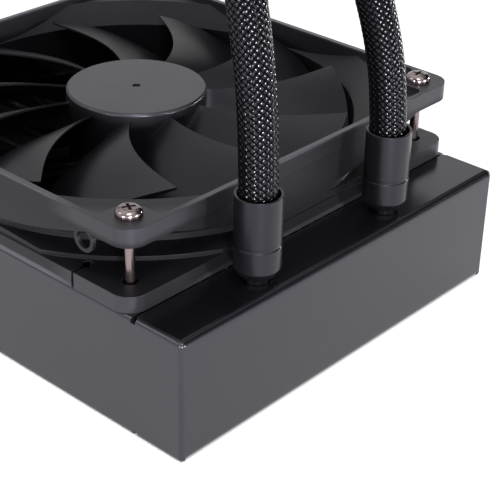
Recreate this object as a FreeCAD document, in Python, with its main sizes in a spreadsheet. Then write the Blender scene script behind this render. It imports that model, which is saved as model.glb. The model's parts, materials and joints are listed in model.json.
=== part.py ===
# An all in one liquid cooler for a processor: a 140 mm radiator with its fan,
# two sleeved hoses and the pump block with its cold plate.
#
# Millimetres. The origin is the middle of the four case holes on the radiator's underside,
# straight below the fan's axis. +X runs along the radiator to the tank with the hose
# fittings, +Y across it, +Z up through the fan.
import FreeCAD, Part
import math
import os
import re

import Sketcher

V = FreeCAD.Vector
UP = V(0, 0, 1)

# Driving sizes in millimetres, and degrees where the word says angle
SIZES = {
    # How far a cutting shape runs past what it cuts
    "over": 1.0,
    # Radiator
    "rad_height": 38.0,
    "rad_width": 139.0,
    "core_half": 70.5,
    "front_tank_length": 18.0,
    "rear_tank_length": 12.0,
    "tank_wall": 2.4,
    "tank_round": 2.2,
    "header_setback": 2.0,
    "header_thickness": 1.5,
    "divider_thickness": 1.5,
    "divider_across": 0.0,
    "plate_thickness": 1.5,
    "fold_width": 12.0,
    "fold_round": 1.4,
    "fold_gap": 0.9,
    "relief_length": 1.8,
    "relief_depth": 1.5,
    "tube_count": 12,
    "tube_thickness": 2.0,
    "tube_wall": 0.35,
    "tube_bevel": 0.6,
    "tube_end": 1.0,
    "core_depth": 27.0,
    "fin_count": 17,
    "fin_thickness": 0.25,
    "screw_pitch": 124.5,
    "case_hole_radius": 1.7,
    # Hose fittings and collars, the same at both ends of a hose
    "fitting_along": 79.6,
    "fitting_middle": -3.2,
    "fitting_pitch": 56.4,
    "stem_radius": 4.0,
    "stem_length": 1.8,
    "seat_radius": 4.4,
    "seat_height": 1.8,
    "barb_radius": 3.2,
    "barb_length": 17.0,
    "barb_bore": 2.2,
    "collar_radius": 6.7,
    "collar_bore": 5.9,
    "collar_height": 24.4,
    "collar_floor": 2.5,
    "collar_bevel": 1.6,
    "collar_groove_height": 9.2,
    "collar_groove_width": 0.9,
    "collar_groove_depth": 0.35,
    "hose_radius": 5.5,
    "fit_gap": 0.05,
    # Fan frame
    "fan_width": 140.0,
    "fan_depth": 25.0,
    "fan_corner": 6.0,
    "top_flange": 5.5,
    "low_flange": 5.0,
    "duct_radius": 68.0,
    "flare_radius": 76.0,
    "flare_depth": 6.0,
    "web_recess": 2.0,
    "rim_wall": 1.7,
    "side_setback": 0.5,
    "barrel_radius": 70.4,
    "barrel_flare": 88.0,
    "barrel_flare_depth": 10.5,
    "ledge_radius": 77.5,
    "ledge_height": 1.3,
    "ledge_slope": 0.8,
    "boss_radius": 5.6,
    "pad_fillet": 2.5,
    "fan_hole_radius": 2.2,
    "ring_along": 52.4,
    "ring_radius": 3.8,
    "ring_bore": 2.6,
    "ring_depth": 1.2,
    "ring_rise": 0.9,
    "slit_along": 47.8,
    "slit_width": 0.9,
    "slit_depth": 5.0,
    "cable_hole_radius": 1.8,
    "motor_radius": 22.0,
    "motor_plate": 2.0,
    "strut_count": 5,
    "strut_width": 5.0,
    "strut_height": 3.5,
    "strut_offset": 9.0,
    "strut_angle": 20.0,
    "strut_root": 3.0,
    "strut_grip": 0.6,
    "pillar_radius": 5.2,
    "bearing_radius": 4.0,
    "bearing_length": 11.5,
    "clip_room": 1.6,
    # Fan rotor and motor
    "hub_radius": 21.9,
    "hub_wall": 1.5,
    "hub_drop": 2.0,
    "hub_skirt": 19.2,
    "hub_round": 1.0,
    "dimple_radius": 1.3,
    "dimple_depth": 0.5,
    "rotor_boss": 4.0,
    "rotor_boss_length": 4.5,
    "shaft_radius": 1.5,
    "run_gap": 0.04,
    "yoke_wall": 0.8,
    "magnet_thickness": 2.4,
    "magnet_length": 11.0,
    "air_gap": 0.5,
    "clip_radius": 2.6,
    "clip_thickness": 0.6,
    "clip_clear": 0.3,
    "shaft_end": 0.2,
    "yoke_setback": 1.0,
    "blade_count": 11,
    "tip_radius": 66.5,
    "blade_drop": 4.0,
    "blade_thickness": 1.5,
    "blade_edge": 0.7,
    "root_chord_angle": 35.0,
    "tip_chord_angle": 30.0,
    "root_fall": 15.0,
    "tip_fall": 14.0,
    "root_bow": 0.42,
    "tip_bow": 0.3,
    "sweep_angle": 15.5,
    "blade_turn_angle": 32.2,
    "board_radius": 18.0,
    "board_thickness": 1.2,
    "pole_count": 4,
    "pole_width": 4.0,
    "pole_shoe": 2.2,
    "shoe_share": 0.8,
    "stator_ring": 2.2,
    "pole_stack": 7.0,
    "coil_build": 1.8,
    "coil_clear": 0.3,
    # Fan screws
    "screw_head_radius": 3.75,
    "screw_head_height": 2.3,
    "screw_side_height": 1.0,
    "screw_shoulder_height": 1.95,
    "screw_shoulder_radius": 3.0,
    "screw_crown_radius": 1.7,
    "screw_radius": 1.45,
    "screw_length": 29.0,
    # Pump block
    "pump_along": -132.0,
    "pump_radius": 33.0,
    "pump_height": 40.0,
    "pump_barb_along": 15.0,
    "pump_barb_pitch": 28.0,
    "cap_height": 7.0,
    "cap_round": 2.0,
    "cold_plate_width": 54.0,
    "cold_plate_thickness": 3.0,
    "cold_plate_corner": 4.0,
    "micro_width": 26.0,
    "micro_height": 3.0,
    "micro_count": 12,
    "micro_gap": 1.0,
    "micro_margin": 1.0,
    "bracket_thickness": 2.0,
    "neck_radius": 29.0,
    "bracket_pitch": 75.0,
    "bracket_ear": 5.0,
    "bracket_brim": 2.0,
    "bracket_hole_radius": 2.1,
    "seal_radius": 21.5,
    "seal_thickness": 1.0,
    "jet_gap": 1.5,
    "wet_floor": 1.5,
    "jet_radius": 2.0,
    "jet_offset": 7.0,
    "channel_height": 3.5,
    "impeller_radius": 10.5,
    "impeller_clear": 0.5,
    "impeller_disc": 1.2,
    "impeller_hub": 3.0,
    "impeller_magnet_wall": 2.0,
    "impeller_top_gap": 1.0,
    "vane_count": 6,
    "vane_height": 3.5,
    "vane_thickness": 1.2,
    "vane_root": 1.0,
    "can_radius": 6.5,
    "can_wall": 0.8,
    "can_height": 14.0,
    "rotor_clear": 0.5,
    "pin_radius": 1.0,
    "pin_seat": 0.4,
    "pump_stator_radius": 12.4,
    "pump_stator_height": 6.0,
    "pump_stator_ring": 1.0,
    "pump_stator_lift": 2.0,
    "pump_pole_width": 2.0,
    "pump_coil_build": 0.9,
    "pump_board_radius": 12.4,
    "dry_radius": 30.0,
    "dry_floor": 3.0,
    "port_wall": 2.0,
    "cap_room": 3.0,
    "plate_screw_along": 19.0,
    "plate_screw_radius": 1.4,
    "plate_screw_length": 6.0,
    "plate_screw_head": 2.6,
    "plate_screw_head_height": 1.4,
    "plate_screw_sink": 0.2,
    "plate_screw_clear": 0.2,
    "plate_screw_spare": 0.5,
}

# Hose routes: the corners of the line that each hose follows, from the radiator's collar up
# and over the fan and down to the pump's collar
HOSE_LEFT = [
    (79.6, -31.4, 42.3),
    (79.6, -31.4, 70.0),
    (76.9, -31.0, 98.7),
    (68.6, -29.6, 131.1),
    (45.8, -26.6, 162.3),
    (6.1, -22.6, 183.4),
    (-43.7, -19.1, 183.6),
    (-87.5, -17.2, 160.7),
    (-110.2, -17.2, 122.9),
    (-117.0, -17.2, 82.0),
    (-117.0, -17.2, 44.3),
]
HOSE_RIGHT = [
    (79.6, 25.0, 42.3),
    (79.6, 25.0, 70.0),
    (73.6, 25.2, 96.8),
    (59.6, 24.2, 126.1),
    (34.8, 22.4, 151.3),
    (-1.9, 18.9, 169.4),
    (-48.7, 14.9, 170.6),
    (-89.5, 11.9, 148.7),
    (-110.7, 10.8, 114.9),
    (-117.0, 10.8, 78.0),
    (-117.0, 10.8, 44.3),
]
RUN_SHARE = 0.45

doc = FreeCAD.newDocument("liquid_cooler")
sheet = doc.addObject("Spreadsheet::Sheet", "sizes")
for row, (word, number) in enumerate(SIZES.items(), 1):
    sheet.set(f"A{row}", word)
    sheet.set(f"B{row}", str(number))
    sheet.setAlias(f"B{row}", word)
doc.recompute()

parts = []


# Expressions on the sheet
def bound(text):
    """The expression with the sheet's name before each of its sizes."""
    return re.sub(r"[a-z][a-z_]*", lambda w: "sizes." + w[0] if w[0] in SIZES else w[0], str(text))


def value(text):
    """The number that an expression on the sheet has now."""
    return float(sheet.evalExpression(bound(text)))


def tie(thing, **sizes):
    for name, text in sizes.items():
        thing.setExpression(name.replace("_", "."), bound(text))
    return thing


def at(thing, x="0", y="0", z="0", turned=None):
    """The thing's place, from expressions, and its fixed turn."""
    if turned:
        thing.Placement = FreeCAD.Placement(V(0, 0, 0), turned)
    return tie(thing, Placement_Base_x=x, Placement_Base_y=y, Placement_Base_z=z)


# Levels and places that several pieces share, as expressions
HALF_WIDTH = "rad_width / 2"
INNER_HALF = "(rad_width / 2 - plate_thickness)"
FRONT_END = "(core_half + front_tank_length)"
REAR_END = "(core_half + rear_tank_length)"
FAN_TOP = "(rad_height + fan_depth)"
SCREW_AT = "(screw_pitch / 2)"
LOW_TOP = "(rad_height + low_flange)"
TOP_UNDER = "(rad_height + fan_depth - top_flange)"
HUB_TOP = "(rad_height + fan_depth - hub_drop)"
HUB_UNDER = "(rad_height + fan_depth - hub_drop - hub_wall)"
SKIRT = "(rad_height + fan_depth - hub_drop - hub_skirt)"
PUMP_SHOULDER = "(cold_plate_thickness + bracket_thickness)"


# Solids from primitives and sketches
def block(name, x, y, z):
    """A box between two expressions along each axis."""
    made = doc.addObject("Part::Box", name)
    tie(made, Length=f"{x[1]} - ({x[0]})", Width=f"{y[1]} - ({y[0]})", Height=f"{z[1]} - ({z[0]})")
    return at(made, x[0], y[0], z[0])


def rod(name, radius, z, x="0", y="0"):
    """An upright cylinder between two heights."""
    made = doc.addObject("Part::Cylinder", name)
    tie(made, Radius=radius, Height=f"{z[1]} - ({z[0]})")
    return at(made, x, y, z[0])


def outline(owner, name, plane, corners):
    """A closed sketch through corners whose two coordinates are expressions, all constrained."""
    if owner is doc:
        sketch = doc.addObject("Sketcher::SketchObject", name)
        turns = {"XY": FreeCAD.Rotation(), "XZ": FreeCAD.Rotation(V(1, 0, 0), 90)}
        turns["YZ"] = FreeCAD.Rotation(V(1, 1, 1), 120)
        sketch.Placement = FreeCAD.Placement(V(0, 0, 0), turns[plane])
    else:
        sketch = owner.newObject("Sketcher::SketchObject", name)
        base = [o for o in owner.Origin.OriginFeatures if o.Role == f"{plane}_Plane"][0]
        sketch.AttachmentSupport = [(base, "")]
        sketch.MapMode = "FlatFace"
    spots = [V(value(a), value(b), 0) for a, b in corners]
    for i, spot in enumerate(spots):
        sketch.addGeometry(Part.LineSegment(spot, spots[(i + 1) % len(spots)]), False)
    for i, (a, b) in enumerate(corners):
        sketch.addConstraint(Sketcher.Constraint("Coincident", i, 2, (i + 1) % len(spots), 1))
        for kind, text, number in (("DistanceX", a, spots[i].x), ("DistanceY", b, spots[i].y)):
            added = sketch.addConstraint(Sketcher.Constraint(kind, -1, 1, i, 1, number))
            sketch.setExpression(f"Constraints[{added}]", bound(text))
    return sketch


def turned(name, corners, x="0", y="0"):
    """A solid of revolution about an upright axis, from its section's radii and heights."""
    made = doc.addObject("Part::Revolution", name)
    made.Source = outline(doc, name + "_section", "XZ", corners)
    made.Axis = UP
    made.Angle = 360
    made.Solid = True
    return at(made, x, y)


def pressed(name, plane, corners, low, high):
    """A sketch in the XY plane pushed up Z, or in the YZ plane pushed along X."""
    made = doc.addObject("Part::Extrusion", name)
    made.Base = outline(doc, name + "_section", plane, corners)
    made.DirMode = "Custom"
    made.Dir = {"XY": V(0, 0, 1), "YZ": V(1, 0, 0)}[plane]
    made.Solid = True
    tie(made, LengthFwd=f"{high} - ({low})")
    return at(made, **{{"XY": "z", "YZ": "x"}[plane]: low})


def fuse(name, pieces):
    made = doc.addObject("Part::MultiFuse", name)
    made.Shapes = pieces
    made.Refine = True
    return made


def common(name, pieces):
    made = doc.addObject("Part::MultiCommon", name)
    made.Shapes = pieces
    return made


def cut(name, base, tools):
    """The base without its tools."""
    made = doc.addObject("Part::Cut", name)
    made.Base = base
    made.Tool = tools[0] if len(tools) == 1 else fuse(name + "_tools", tools)
    return made


def softened(name, base, radius, wanted):
    """The base with a fillet on each edge whose middle and direction pass the wanted test."""
    doc.recompute()
    made = doc.addObject("Part::Fillet", name)
    made.Base = base
    size = value(radius)
    chosen = []
    for i, edge in enumerate(base.Shape.Edges, 1):
        middle = edge.valueAt((edge.FirstParameter + edge.LastParameter) / 2)
        along = edge.tangentAt(edge.FirstParameter)
        if wanted(middle, along):
            chosen.append((i, size, size))
    made.Edges = chosen
    return made


def upright(middle, along):
    return abs(along.z) > 0.99


def group(name, pieces):
    """Separate solids of one kind, kept as one part."""
    made = doc.addObject("Part::Compound", name)
    made.Links = pieces
    return made


def part(thing, name):
    """Names a finished sub-part and lists it for export."""
    thing.Label = name
    parts.append(thing)
    return thing


def four(make):
    """One solid of a kind at each of the four screw places."""
    return [make(i, x, y) for i, (x, y) in enumerate((("-", "-"), ("", "-"), ("", ""), ("-", "")))]


# Radiator tanks, drawn boxes that open towards the core
def tank(name, side, far, holes):
    near = "core_half" if side == "" else f"-{far}"
    end = far if side == "" else "-core_half"
    outer = block(name + "_blank", (near, end), (f"-{INNER_HALF}", INNER_HALF), ("0", "rad_height"))

    core_end = value("core_half")

    def long_edge(middle, along):
        return abs(along.y) > 0.99 and abs(middle.x) > core_end + 0.01

    outer = softened(name + "_rounded", outer, "tank_round", long_edge)
    inner_x = ("core_half - over", f"{far} - tank_wall")
    if side == "-":
        inner_x = (f"-({far} - tank_wall)", "-(core_half - over)")
    inside = (f"-{INNER_HALF} + tank_wall", f"{INNER_HALF} - tank_wall")
    hollow = block(name + "_hollow", inner_x, inside, ("tank_wall", "rad_height - tank_wall"))
    return part(cut(name, outer, [hollow] + holes), name)


FITTING_SPOTS = {
    "left": ("fitting_along", "(fitting_middle - fitting_pitch / 2)"),
    "right": ("fitting_along", "(fitting_middle + fitting_pitch / 2)"),
}
stem_holes = [
    rod(f"stem_hole_{side}", "stem_radius", ("rad_height - tank_wall - over", "rad_height + over"), x, y)
    for side, (x, y) in FITTING_SPOTS.items()
]
tank("front_tank", "", FRONT_END, stem_holes)
tank("rear_tank", "-", REAR_END, [])

# The divider parts the front tank's two chambers between the fittings
divider_side = "(divider_across - divider_thickness / 2)"
part(
    block(
        "tank_divider",
        ("core_half + header_setback + header_thickness", f"{FRONT_END} - tank_wall"),
        (divider_side, f"{divider_side} + divider_thickness"),
        ("tank_wall", "rad_height - tank_wall"),
    ),
    "tank_divider",
)

# Flat tubes, side by side across the core, and the gaps between them that hold the fins
FIN_HEIGHT = f"((2 * {INNER_HALF} - tube_count * tube_thickness) / (tube_count + 1))"
TUBE_LOW = "(rad_height / 2 - core_depth / 2)"
TUBE_HIGH = "(rad_height / 2 + core_depth / 2)"
tube_count = int(value("tube_count"))


# A bevel's leg shortens by this share of the inset when its outline is drawn in
BEVEL_SHRINK = 2 - math.sqrt(2)


def tube_section(place, inset):
    """A flat tube's corners in Y and Z, with bevelled narrow ends, moved in by its wall."""
    half = f"(tube_thickness / 2 - {inset})"
    bevel = f"(tube_bevel - {inset} * {BEVEL_SHRINK:.4f})"
    low = f"({TUBE_LOW} + {inset})"
    high = f"({TUBE_HIGH} - {inset})"
    return [
        (f"{place} - {half} + {bevel}", low),
        (f"{place} + {half} - {bevel}", low),
        (f"{place} + {half}", f"{low} + {bevel}"),
        (f"{place} + {half}", f"{high} - {bevel}"),
        (f"{place} + {half} - {bevel}", high),
        (f"{place} - {half} + {bevel}", high),
        (f"{place} - {half}", f"{high} - {bevel}"),
        (f"{place} - {half}", f"{low} + {bevel}"),
    ]


def tube_place(index):
    return f"(-{INNER_HALF} + {index + 1} * {FIN_HEIGHT} + {index + 0.5} * tube_thickness)"


TUBE_REACH = "(core_half + header_setback + header_thickness + tube_end)"
tubes = []
slots = []
for i in range(tube_count):
    skin = pressed(
        f"tube_{i}_skin", "YZ", tube_section(tube_place(i), "0"), f"-{TUBE_REACH}", TUBE_REACH
    )
    water = pressed(
        f"tube_{i}_water",
        "YZ",
        tube_section(tube_place(i), "tube_wall"),
        f"-{TUBE_REACH} - over",
        f"{TUBE_REACH} + over",
    )
    tubes.append(cut(f"tube_{i}", skin, [water]))
    slots.append(skin)
part(group("core_tubes", tubes), "core_tubes")


# Header plates close the tanks and hold the tubes' ends
def header(name, side):
    near = "core_half + header_setback"
    far = "core_half + header_setback + header_thickness"
    x = (near, far) if side == "" else (f"-({far})", f"-({near})")
    inside = (f"-{INNER_HALF} + tank_wall", f"{INNER_HALF} - tank_wall")
    plate = block(name + "_blank", x, inside, ("tank_wall", "rad_height - tank_wall"))
    return part(cut(name, plate, slots), name)


header("front_header", "")
header("rear_header", "-")


# Corrugated fins, one folded strip in each gap from header to header
def fin_strip(index):
    """A strip folded in a zigzag along X, standing between two tubes."""
    height = value(FIN_HEIGHT)
    low = -value(INNER_HALF) + index * (height + value("tube_thickness"))
    reach = value("core_half")
    folds = 2 * int(value("fin_count"))
    step = 2 * reach / folds
    rise = value("fin_thickness") * math.hypot(height, step) / step
    near = []
    for i in range(folds + 1):
        across = low + (height - rise) * (i % 2)
        near.append(V(-reach + i * step, across, value(TUBE_LOW)))
    far = [p + V(0, rise, 0) for p in reversed(near)]
    face = Part.Face(Part.makePolygon(near + far + near[:1]))
    return face.extrude(UP * value("core_depth"))


fins = doc.addObject("Part::Feature", "core_fins")
fins.Shape = Part.makeCompound([fin_strip(i) for i in range(tube_count + 1)])
part(fins, "core_fins")


# Folded side plates with the screw flanges
def side_plate(name, side):
    """A channel: a web down the whole radiator, folded in over the core at top and bottom."""
    sign = "-" if side < 0 else ""
    outer = f"{sign}({HALF_WIDTH})"
    inner = f"{sign}({INNER_HALF})"
    edge = f"{sign}({HALF_WIDTH} - fold_width)"
    section = [
        (outer, "0"),
        (edge, "0"),
        (edge, "plate_thickness"),
        (inner, "plate_thickness"),
        (inner, "rad_height - plate_thickness"),
        (edge, "rad_height - plate_thickness"),
        (edge, "rad_height"),
        (outer, "rad_height"),
    ]
    fold_end = "(core_half - fold_gap)"
    channel = pressed(name + "_fold", "YZ", section, f"-{fold_end}", fold_end)
    y = (outer, inner) if side < 0 else (inner, outer)
    web = block(name + "_web", (f"-{REAR_END}", FRONT_END), y, ("0", "rad_height"))

    def web_corner(middle, along):
        return abs(along.y) > 0.99

    web = softened(name + "_web_ends", web, "fold_round", web_corner)
    whole = fuse(name + "_whole", [channel, web])
    level = value(HALF_WIDTH)
    length = value("core_half")

    def fold_edge(middle, along):
        return abs(along.x) > 0.99 and abs(abs(middle.y) - level) < 0.01 and abs(middle.x) < length

    cuts = []
    for i, (x, z) in enumerate((("-", "0"), ("", "0"), ("-", "1"), ("", "1"))):
        start = f"{x}({fold_end} + relief_length / 2) - relief_length / 2"
        low = "-over" if z == "0" else "rad_height - relief_depth"
        high = "relief_depth" if z == "0" else "rad_height + over"
        deep = (f"{sign}({HALF_WIDTH} + over)", edge) if side < 0 else (edge, f"{HALF_WIDTH} + over")
        cuts.append(block(f"{name}_relief_{i}", (start, f"{start} + relief_length"), deep, (low, high)))
    for i, x in enumerate(("-", "")):
        # Clear holes for the case's screws below, and above them ones that hold the fan's screws
        kinds = (("0", "case_hole_radius"), ("rad_height - plate_thickness", "screw_radius + fit_gap"))
        for j, (level_z, hole_radius) in enumerate(kinds):
            hole = rod(
                f"{name}_hole_{i}_{j}",
                hole_radius,
                (f"{level_z} - over", f"{level_z} + plate_thickness + over"),
                x + SCREW_AT,
                sign + SCREW_AT,
            )
            cuts.append(hole)
    rounded = softened(name + "_bent", whole, "fold_round", fold_edge)
    return part(cut(name, rounded, cuts), name)


side_plate("side_plate_left", -1)
side_plate("side_plate_right", 1)


# Hose fittings: a stem in the tank's hole, a seat and a barbed tube
def fitting(name, x, y, base, stem):
    tip = f"({base} + seat_height + barb_length)"
    section = [
        ("barb_bore", f"{base} - {stem}"),
        ("stem_radius", f"{base} - {stem}"),
        ("stem_radius", base),
        ("seat_radius", base),
        ("seat_radius", f"{base} + seat_height"),
        ("barb_radius", f"{base} + seat_height"),
        ("barb_radius", tip),
        ("barb_bore", tip),
    ]
    return part(turned(name, section, x, y), name)


def collar(name, x, y, base):
    """A turned sleeve over the hose's end, with a bevelled foot and a groove round it."""
    low = f"({base} + seat_height)"
    top = f"({low} + collar_height)"
    floor = f"({low} + collar_floor)"
    groove = f"({low} + collar_groove_height)"
    section = [
        ("barb_radius + fit_gap", low),
        ("collar_radius - collar_bevel", low),
        ("collar_radius", f"{low} + collar_floor"),
        ("collar_radius", groove),
        ("collar_radius - collar_groove_depth", groove),
        ("collar_radius - collar_groove_depth", f"{groove} + collar_groove_width"),
        ("collar_radius", f"{groove} + collar_groove_width"),
        ("collar_radius", top),
        ("collar_bore", top),
        ("collar_bore", floor),
        ("barb_radius + fit_gap", floor),
    ]
    return part(turned(name, section, x, y), name)


PUMP_MIDDLE = ("pump_along", "fitting_middle")
PUMP_SPOTS = {
    "left": ("(pump_along + pump_barb_along)", "(fitting_middle - pump_barb_pitch / 2)"),
    "right": ("(pump_along + pump_barb_along)", "(fitting_middle + pump_barb_pitch / 2)"),
}
for side, (x, y) in FITTING_SPOTS.items():
    fitting(f"radiator_fitting_{side}", x, y, "rad_height", "(tank_wall + stem_length)")
    collar(f"radiator_collar_{side}", x, y, "rad_height")
for side, (x, y) in PUMP_SPOTS.items():
    fitting(f"pump_fitting_{side}", x, y, "pump_height", "(cap_height + stem_length)")
    collar(f"pump_collar_{side}", x, y, "pump_height")


# Hoses: straight runs joined by tangent arcs, bored at each end for the barb
def hose(name, corners):
    route = [V(*p) for p in corners]
    runs = [(b - a).Length for a, b in zip(route, route[1:])]
    radius = value("hose_radius")
    edges = []
    radii = []
    start = route[0]
    for i in range(1, len(route) - 1):
        back = (route[i - 1] - route[i]).normalize()
        ahead = (route[i + 1] - route[i]).normalize()
        half_turn = (math.pi - back.getAngle(ahead)) / 2
        reach = RUN_SHARE * min(runs[i - 1], runs[i])
        bend = reach / math.tan(half_turn)
        radii.append(bend)
        into = route[i] + back * reach
        out = route[i] + ahead * reach
        inward = (back + ahead).normalize()
        middle = route[i] + inward * (bend / math.cos(half_turn) - bend)
        edges.append(Part.LineSegment(start, into).toShape())
        edges.append(Part.Arc(into, middle, out).toShape())
        start = out
    edges.append(Part.LineSegment(start, route[-1]).toShape())
    path = Part.Wire(edges)
    ring = Part.Wire(Part.makeCircle(radius, route[0], route[1] - route[0]))
    tube = path.makePipeShell([ring], True, True)
    share = tube.Volume / (math.pi * radius**2 * path.Length)
    print(f"{name}: {path.Length:.1f} mm long, radii", [round(r) for r in radii], f"volume {share:.4f}")
    for end, inner in ((route[0], route[1]), (route[-1], route[-2])):
        bore = value("barb_radius + fit_gap")
        length = value("barb_length - collar_floor + 2 * over")
        tube = tube.cut(Part.makeCylinder(bore, length, end - UP, UP))
    made = doc.addObject("Part::Feature", name)
    made.Shape = tube
    return part(made, name)


hose("hose_left", HOSE_LEFT)
hose("hose_right", HOSE_RIGHT)


# Fan frame: two square flanges joined by a flared duct
def square_flange(name, low, high):
    half = "(fan_width / 2)"
    plate = block(name + "_blank", (f"-{half}", half), (f"-{half}", half), (low, high))
    return softened(name, plate, "fan_corner", upright)


top_plate = square_flange("top_flange_plate", TOP_UNDER, FAN_TOP)
low_plate = square_flange("low_flange_plate", "rad_height", LOW_TOP)
barrel = turned(
    "barrel",
    [
        ("0", LOW_TOP),
        ("ledge_radius", LOW_TOP),
        ("ledge_radius", f"{LOW_TOP} + ledge_height"),
        ("barrel_radius", f"{LOW_TOP} + ledge_height + ledge_slope"),
        ("barrel_radius", f"{TOP_UNDER} - barrel_flare_depth"),
        ("barrel_flare", TOP_UNDER),
        ("0", TOP_UNDER),
    ],
)
side_half = "(fan_width / 2 - side_setback)"
side_box = block(
    "barrel_sides",
    (f"-{side_half}", side_half),
    (f"-{side_half}", side_half),
    ("rad_height", FAN_TOP),
)
duct = turned(
    "duct",
    [
        ("0", "rad_height - over"),
        ("duct_radius", "rad_height - over"),
        ("duct_radius", f"{FAN_TOP} - web_recess - flare_depth"),
        ("flare_radius", f"{FAN_TOP} - web_recess"),
        ("flare_radius + web_recess + over", f"{FAN_TOP} + over"),
        ("0", f"{FAN_TOP} + over"),
    ],
)
rim_half = "(fan_width / 2 - rim_wall)"
duct_sides = block(
    "duct_sides",
    (f"-{rim_half}", rim_half),
    (f"-{rim_half}", rim_half),
    ("rad_height - 2 * over", f"{FAN_TOP} + 2 * over"),
)
duct_space = common("duct_space", [duct, duct_sides])
web_blank = block(
    "web_blank",
    (f"-{rim_half}", rim_half),
    (f"-{rim_half}", rim_half),
    (f"{FAN_TOP} - web_recess", f"{FAN_TOP} + over"),
)
web_rounded = softened("web_rounded", web_blank, "fan_corner - rim_wall", upright)


PAD_SIDE = "(screw_pitch / 2 - boss_radius)"


def outward(sign, start):
    """From a distance off the middle out to the frame's side, on the side that the sign gives."""
    end = "(fan_width / 2)"
    return (start, end) if sign == "" else (f"-{end}", f"-{start}")


def boss(i, x, y):
    """The raised pad round a screw, run out square to both rims at the frame's corner."""
    levels = (f"{FAN_TOP} - web_recess - over", f"{FAN_TOP} + 2 * over")
    pad = rod(f"pad_{i}", "boss_radius", levels, x + SCREW_AT, y + SCREW_AT)
    run_y = block(f"pad_run_y_{i}", outward(x, PAD_SIDE), outward(y, SCREW_AT), levels)
    run_x = block(f"pad_run_x_{i}", outward(x, SCREW_AT), outward(y, PAD_SIDE), levels)
    return fuse(f"boss_{i}", [pad, run_y, run_x])


def pad_corner(middle, along):
    """An upright edge where a pad's side meets the rim."""
    places = sorted((abs(middle.x), abs(middle.y)))
    wanted = (value(PAD_SIDE), value(rim_half))
    return upright(middle, along) and all(abs(p - w) < 0.01 for p, w in zip(places, wanted))


web_blank_cut = cut("web_space_blank", web_rounded, four(boss))
web_space = softened("web_space", web_blank_cut, "pad_fillet", pad_corner)


def fan_hole(i, x, y):
    levels = ("rad_height - over", f"{FAN_TOP} + over")
    return rod(f"fan_hole_{i}", "fan_hole_radius", levels, x + SCREW_AT, y + SCREW_AT)


slit = block(
    "cable_slit",
    ("slit_along - slit_width / 2", "slit_along + slit_width / 2"),
    ("-fan_width / 2 - over", "-fan_width / 2 + slit_depth"),
    ("rad_height - over", f"{LOW_TOP} + over"),
)
cable_hole = rod(
    "cable_hole",
    "cable_hole_radius",
    ("rad_height - over", f"{LOW_TOP} + over"),
    "slit_along",
    "-fan_width / 2 + slit_depth + cable_hole_radius / 2",
)
body_of_frame = fuse("frame_body", [top_plate, low_plate, common("barrel_wall", [barrel, side_box])])
frame_shell = cut(
    "frame_shell", body_of_frame, [duct_space, web_space, slit, cable_hole] + four(fan_hole)
)

# The eyelet for the lead hangs below the top flange
eyelet_spots = ("ring_along", "-fan_width / 2 + ring_depth + side_setback")
eyelet_parts = []
for word, radius in (("eyelet_outer", "ring_radius"), ("eyelet_inner", "ring_bore")):
    made = doc.addObject("Part::Cylinder", word)
    tie(made, Radius=radius, Height="ring_depth" if word == "eyelet_outer" else "ring_depth + 2 * over")
    shift = "0" if word == "eyelet_outer" else "over"
    y = f"{eyelet_spots[1]} + {shift}"
    at(made, "ring_along", y, f"{TOP_UNDER} - ring_radius + ring_rise", FreeCAD.Rotation(V(1, 0, 0), 90))
    eyelet_parts.append(made)
eyelet = cut("eyelet", eyelet_parts[0], [eyelet_parts[1]])

# Motor base, its struts and the pillar that holds the bearing
base_top = "(rad_height + motor_plate)"
struts = []
for i in range(int(value("strut_count"))):
    strut = doc.addObject("Part::Box", f"strut_{i}")
    reach = "duct_radius - motor_radius + strut_root + over"
    tie(strut, Length=reach, Width="strut_width", Height="strut_height")
    angle = 360 / int(value("strut_count")) * i + value("strut_angle")
    turn = FreeCAD.Rotation(UP, angle)
    across = "(strut_offset - strut_width / 2)"
    c = math.cos(math.radians(angle))
    s = math.sin(math.radians(angle))
    at(
        strut,
        f"(motor_radius - strut_root) * {c:.6f} - {across} * ({s:.6f})",
        f"(motor_radius - strut_root) * {s:.6f} + {across} * ({c:.6f})",
        "rad_height",
        turn,
    )
    struts.append(strut)
strut_ring = rod("strut_ring", "duct_radius + strut_grip", ("rad_height", "rad_height + strut_height"))
struts_in_duct = common("struts_in_duct", [fuse("struts", struts), strut_ring])
motor_base = turned(
    "motor_base",
    [
        ("0", "rad_height"),
        ("motor_radius", "rad_height"),
        ("motor_radius", base_top),
        ("pillar_radius", base_top),
        ("pillar_radius", f"{base_top} + clip_room + bearing_length"),
        ("bearing_radius", f"{base_top} + clip_room + bearing_length"),
        ("bearing_radius", base_top),
        ("0", base_top),
    ],
)
part(fuse("fan_frame", [frame_shell, eyelet, struts_in_duct, motor_base]), "fan_frame")

# Fan bearing, board, stator and its windings
BEARING_LOW = f"({base_top} + clip_room)"
part(
    turned(
        "bearing_sleeve",
        [
            ("shaft_radius + run_gap", BEARING_LOW),
            ("bearing_radius", BEARING_LOW),
            ("bearing_radius", f"{BEARING_LOW} + bearing_length"),
            ("shaft_radius + run_gap", f"{BEARING_LOW} + bearing_length"),
        ],
    ),
    "bearing_sleeve",
)
part(
    turned(
        "fan_board",
        [
            ("pillar_radius", base_top),
            ("board_radius", base_top),
            ("board_radius", f"{base_top} + board_thickness"),
            ("pillar_radius", f"{base_top} + board_thickness"),
        ],
    ),
    "fan_board",
)
MAGNET_INNER = "(hub_radius - hub_wall - yoke_wall - magnet_thickness)"
POLE_RADIUS = f"({MAGNET_INNER} - air_gap)"
stack_low = f"({base_top} + board_thickness + coil_build)"
stack_levels = (stack_low, f"{stack_low} + pole_stack")


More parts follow.
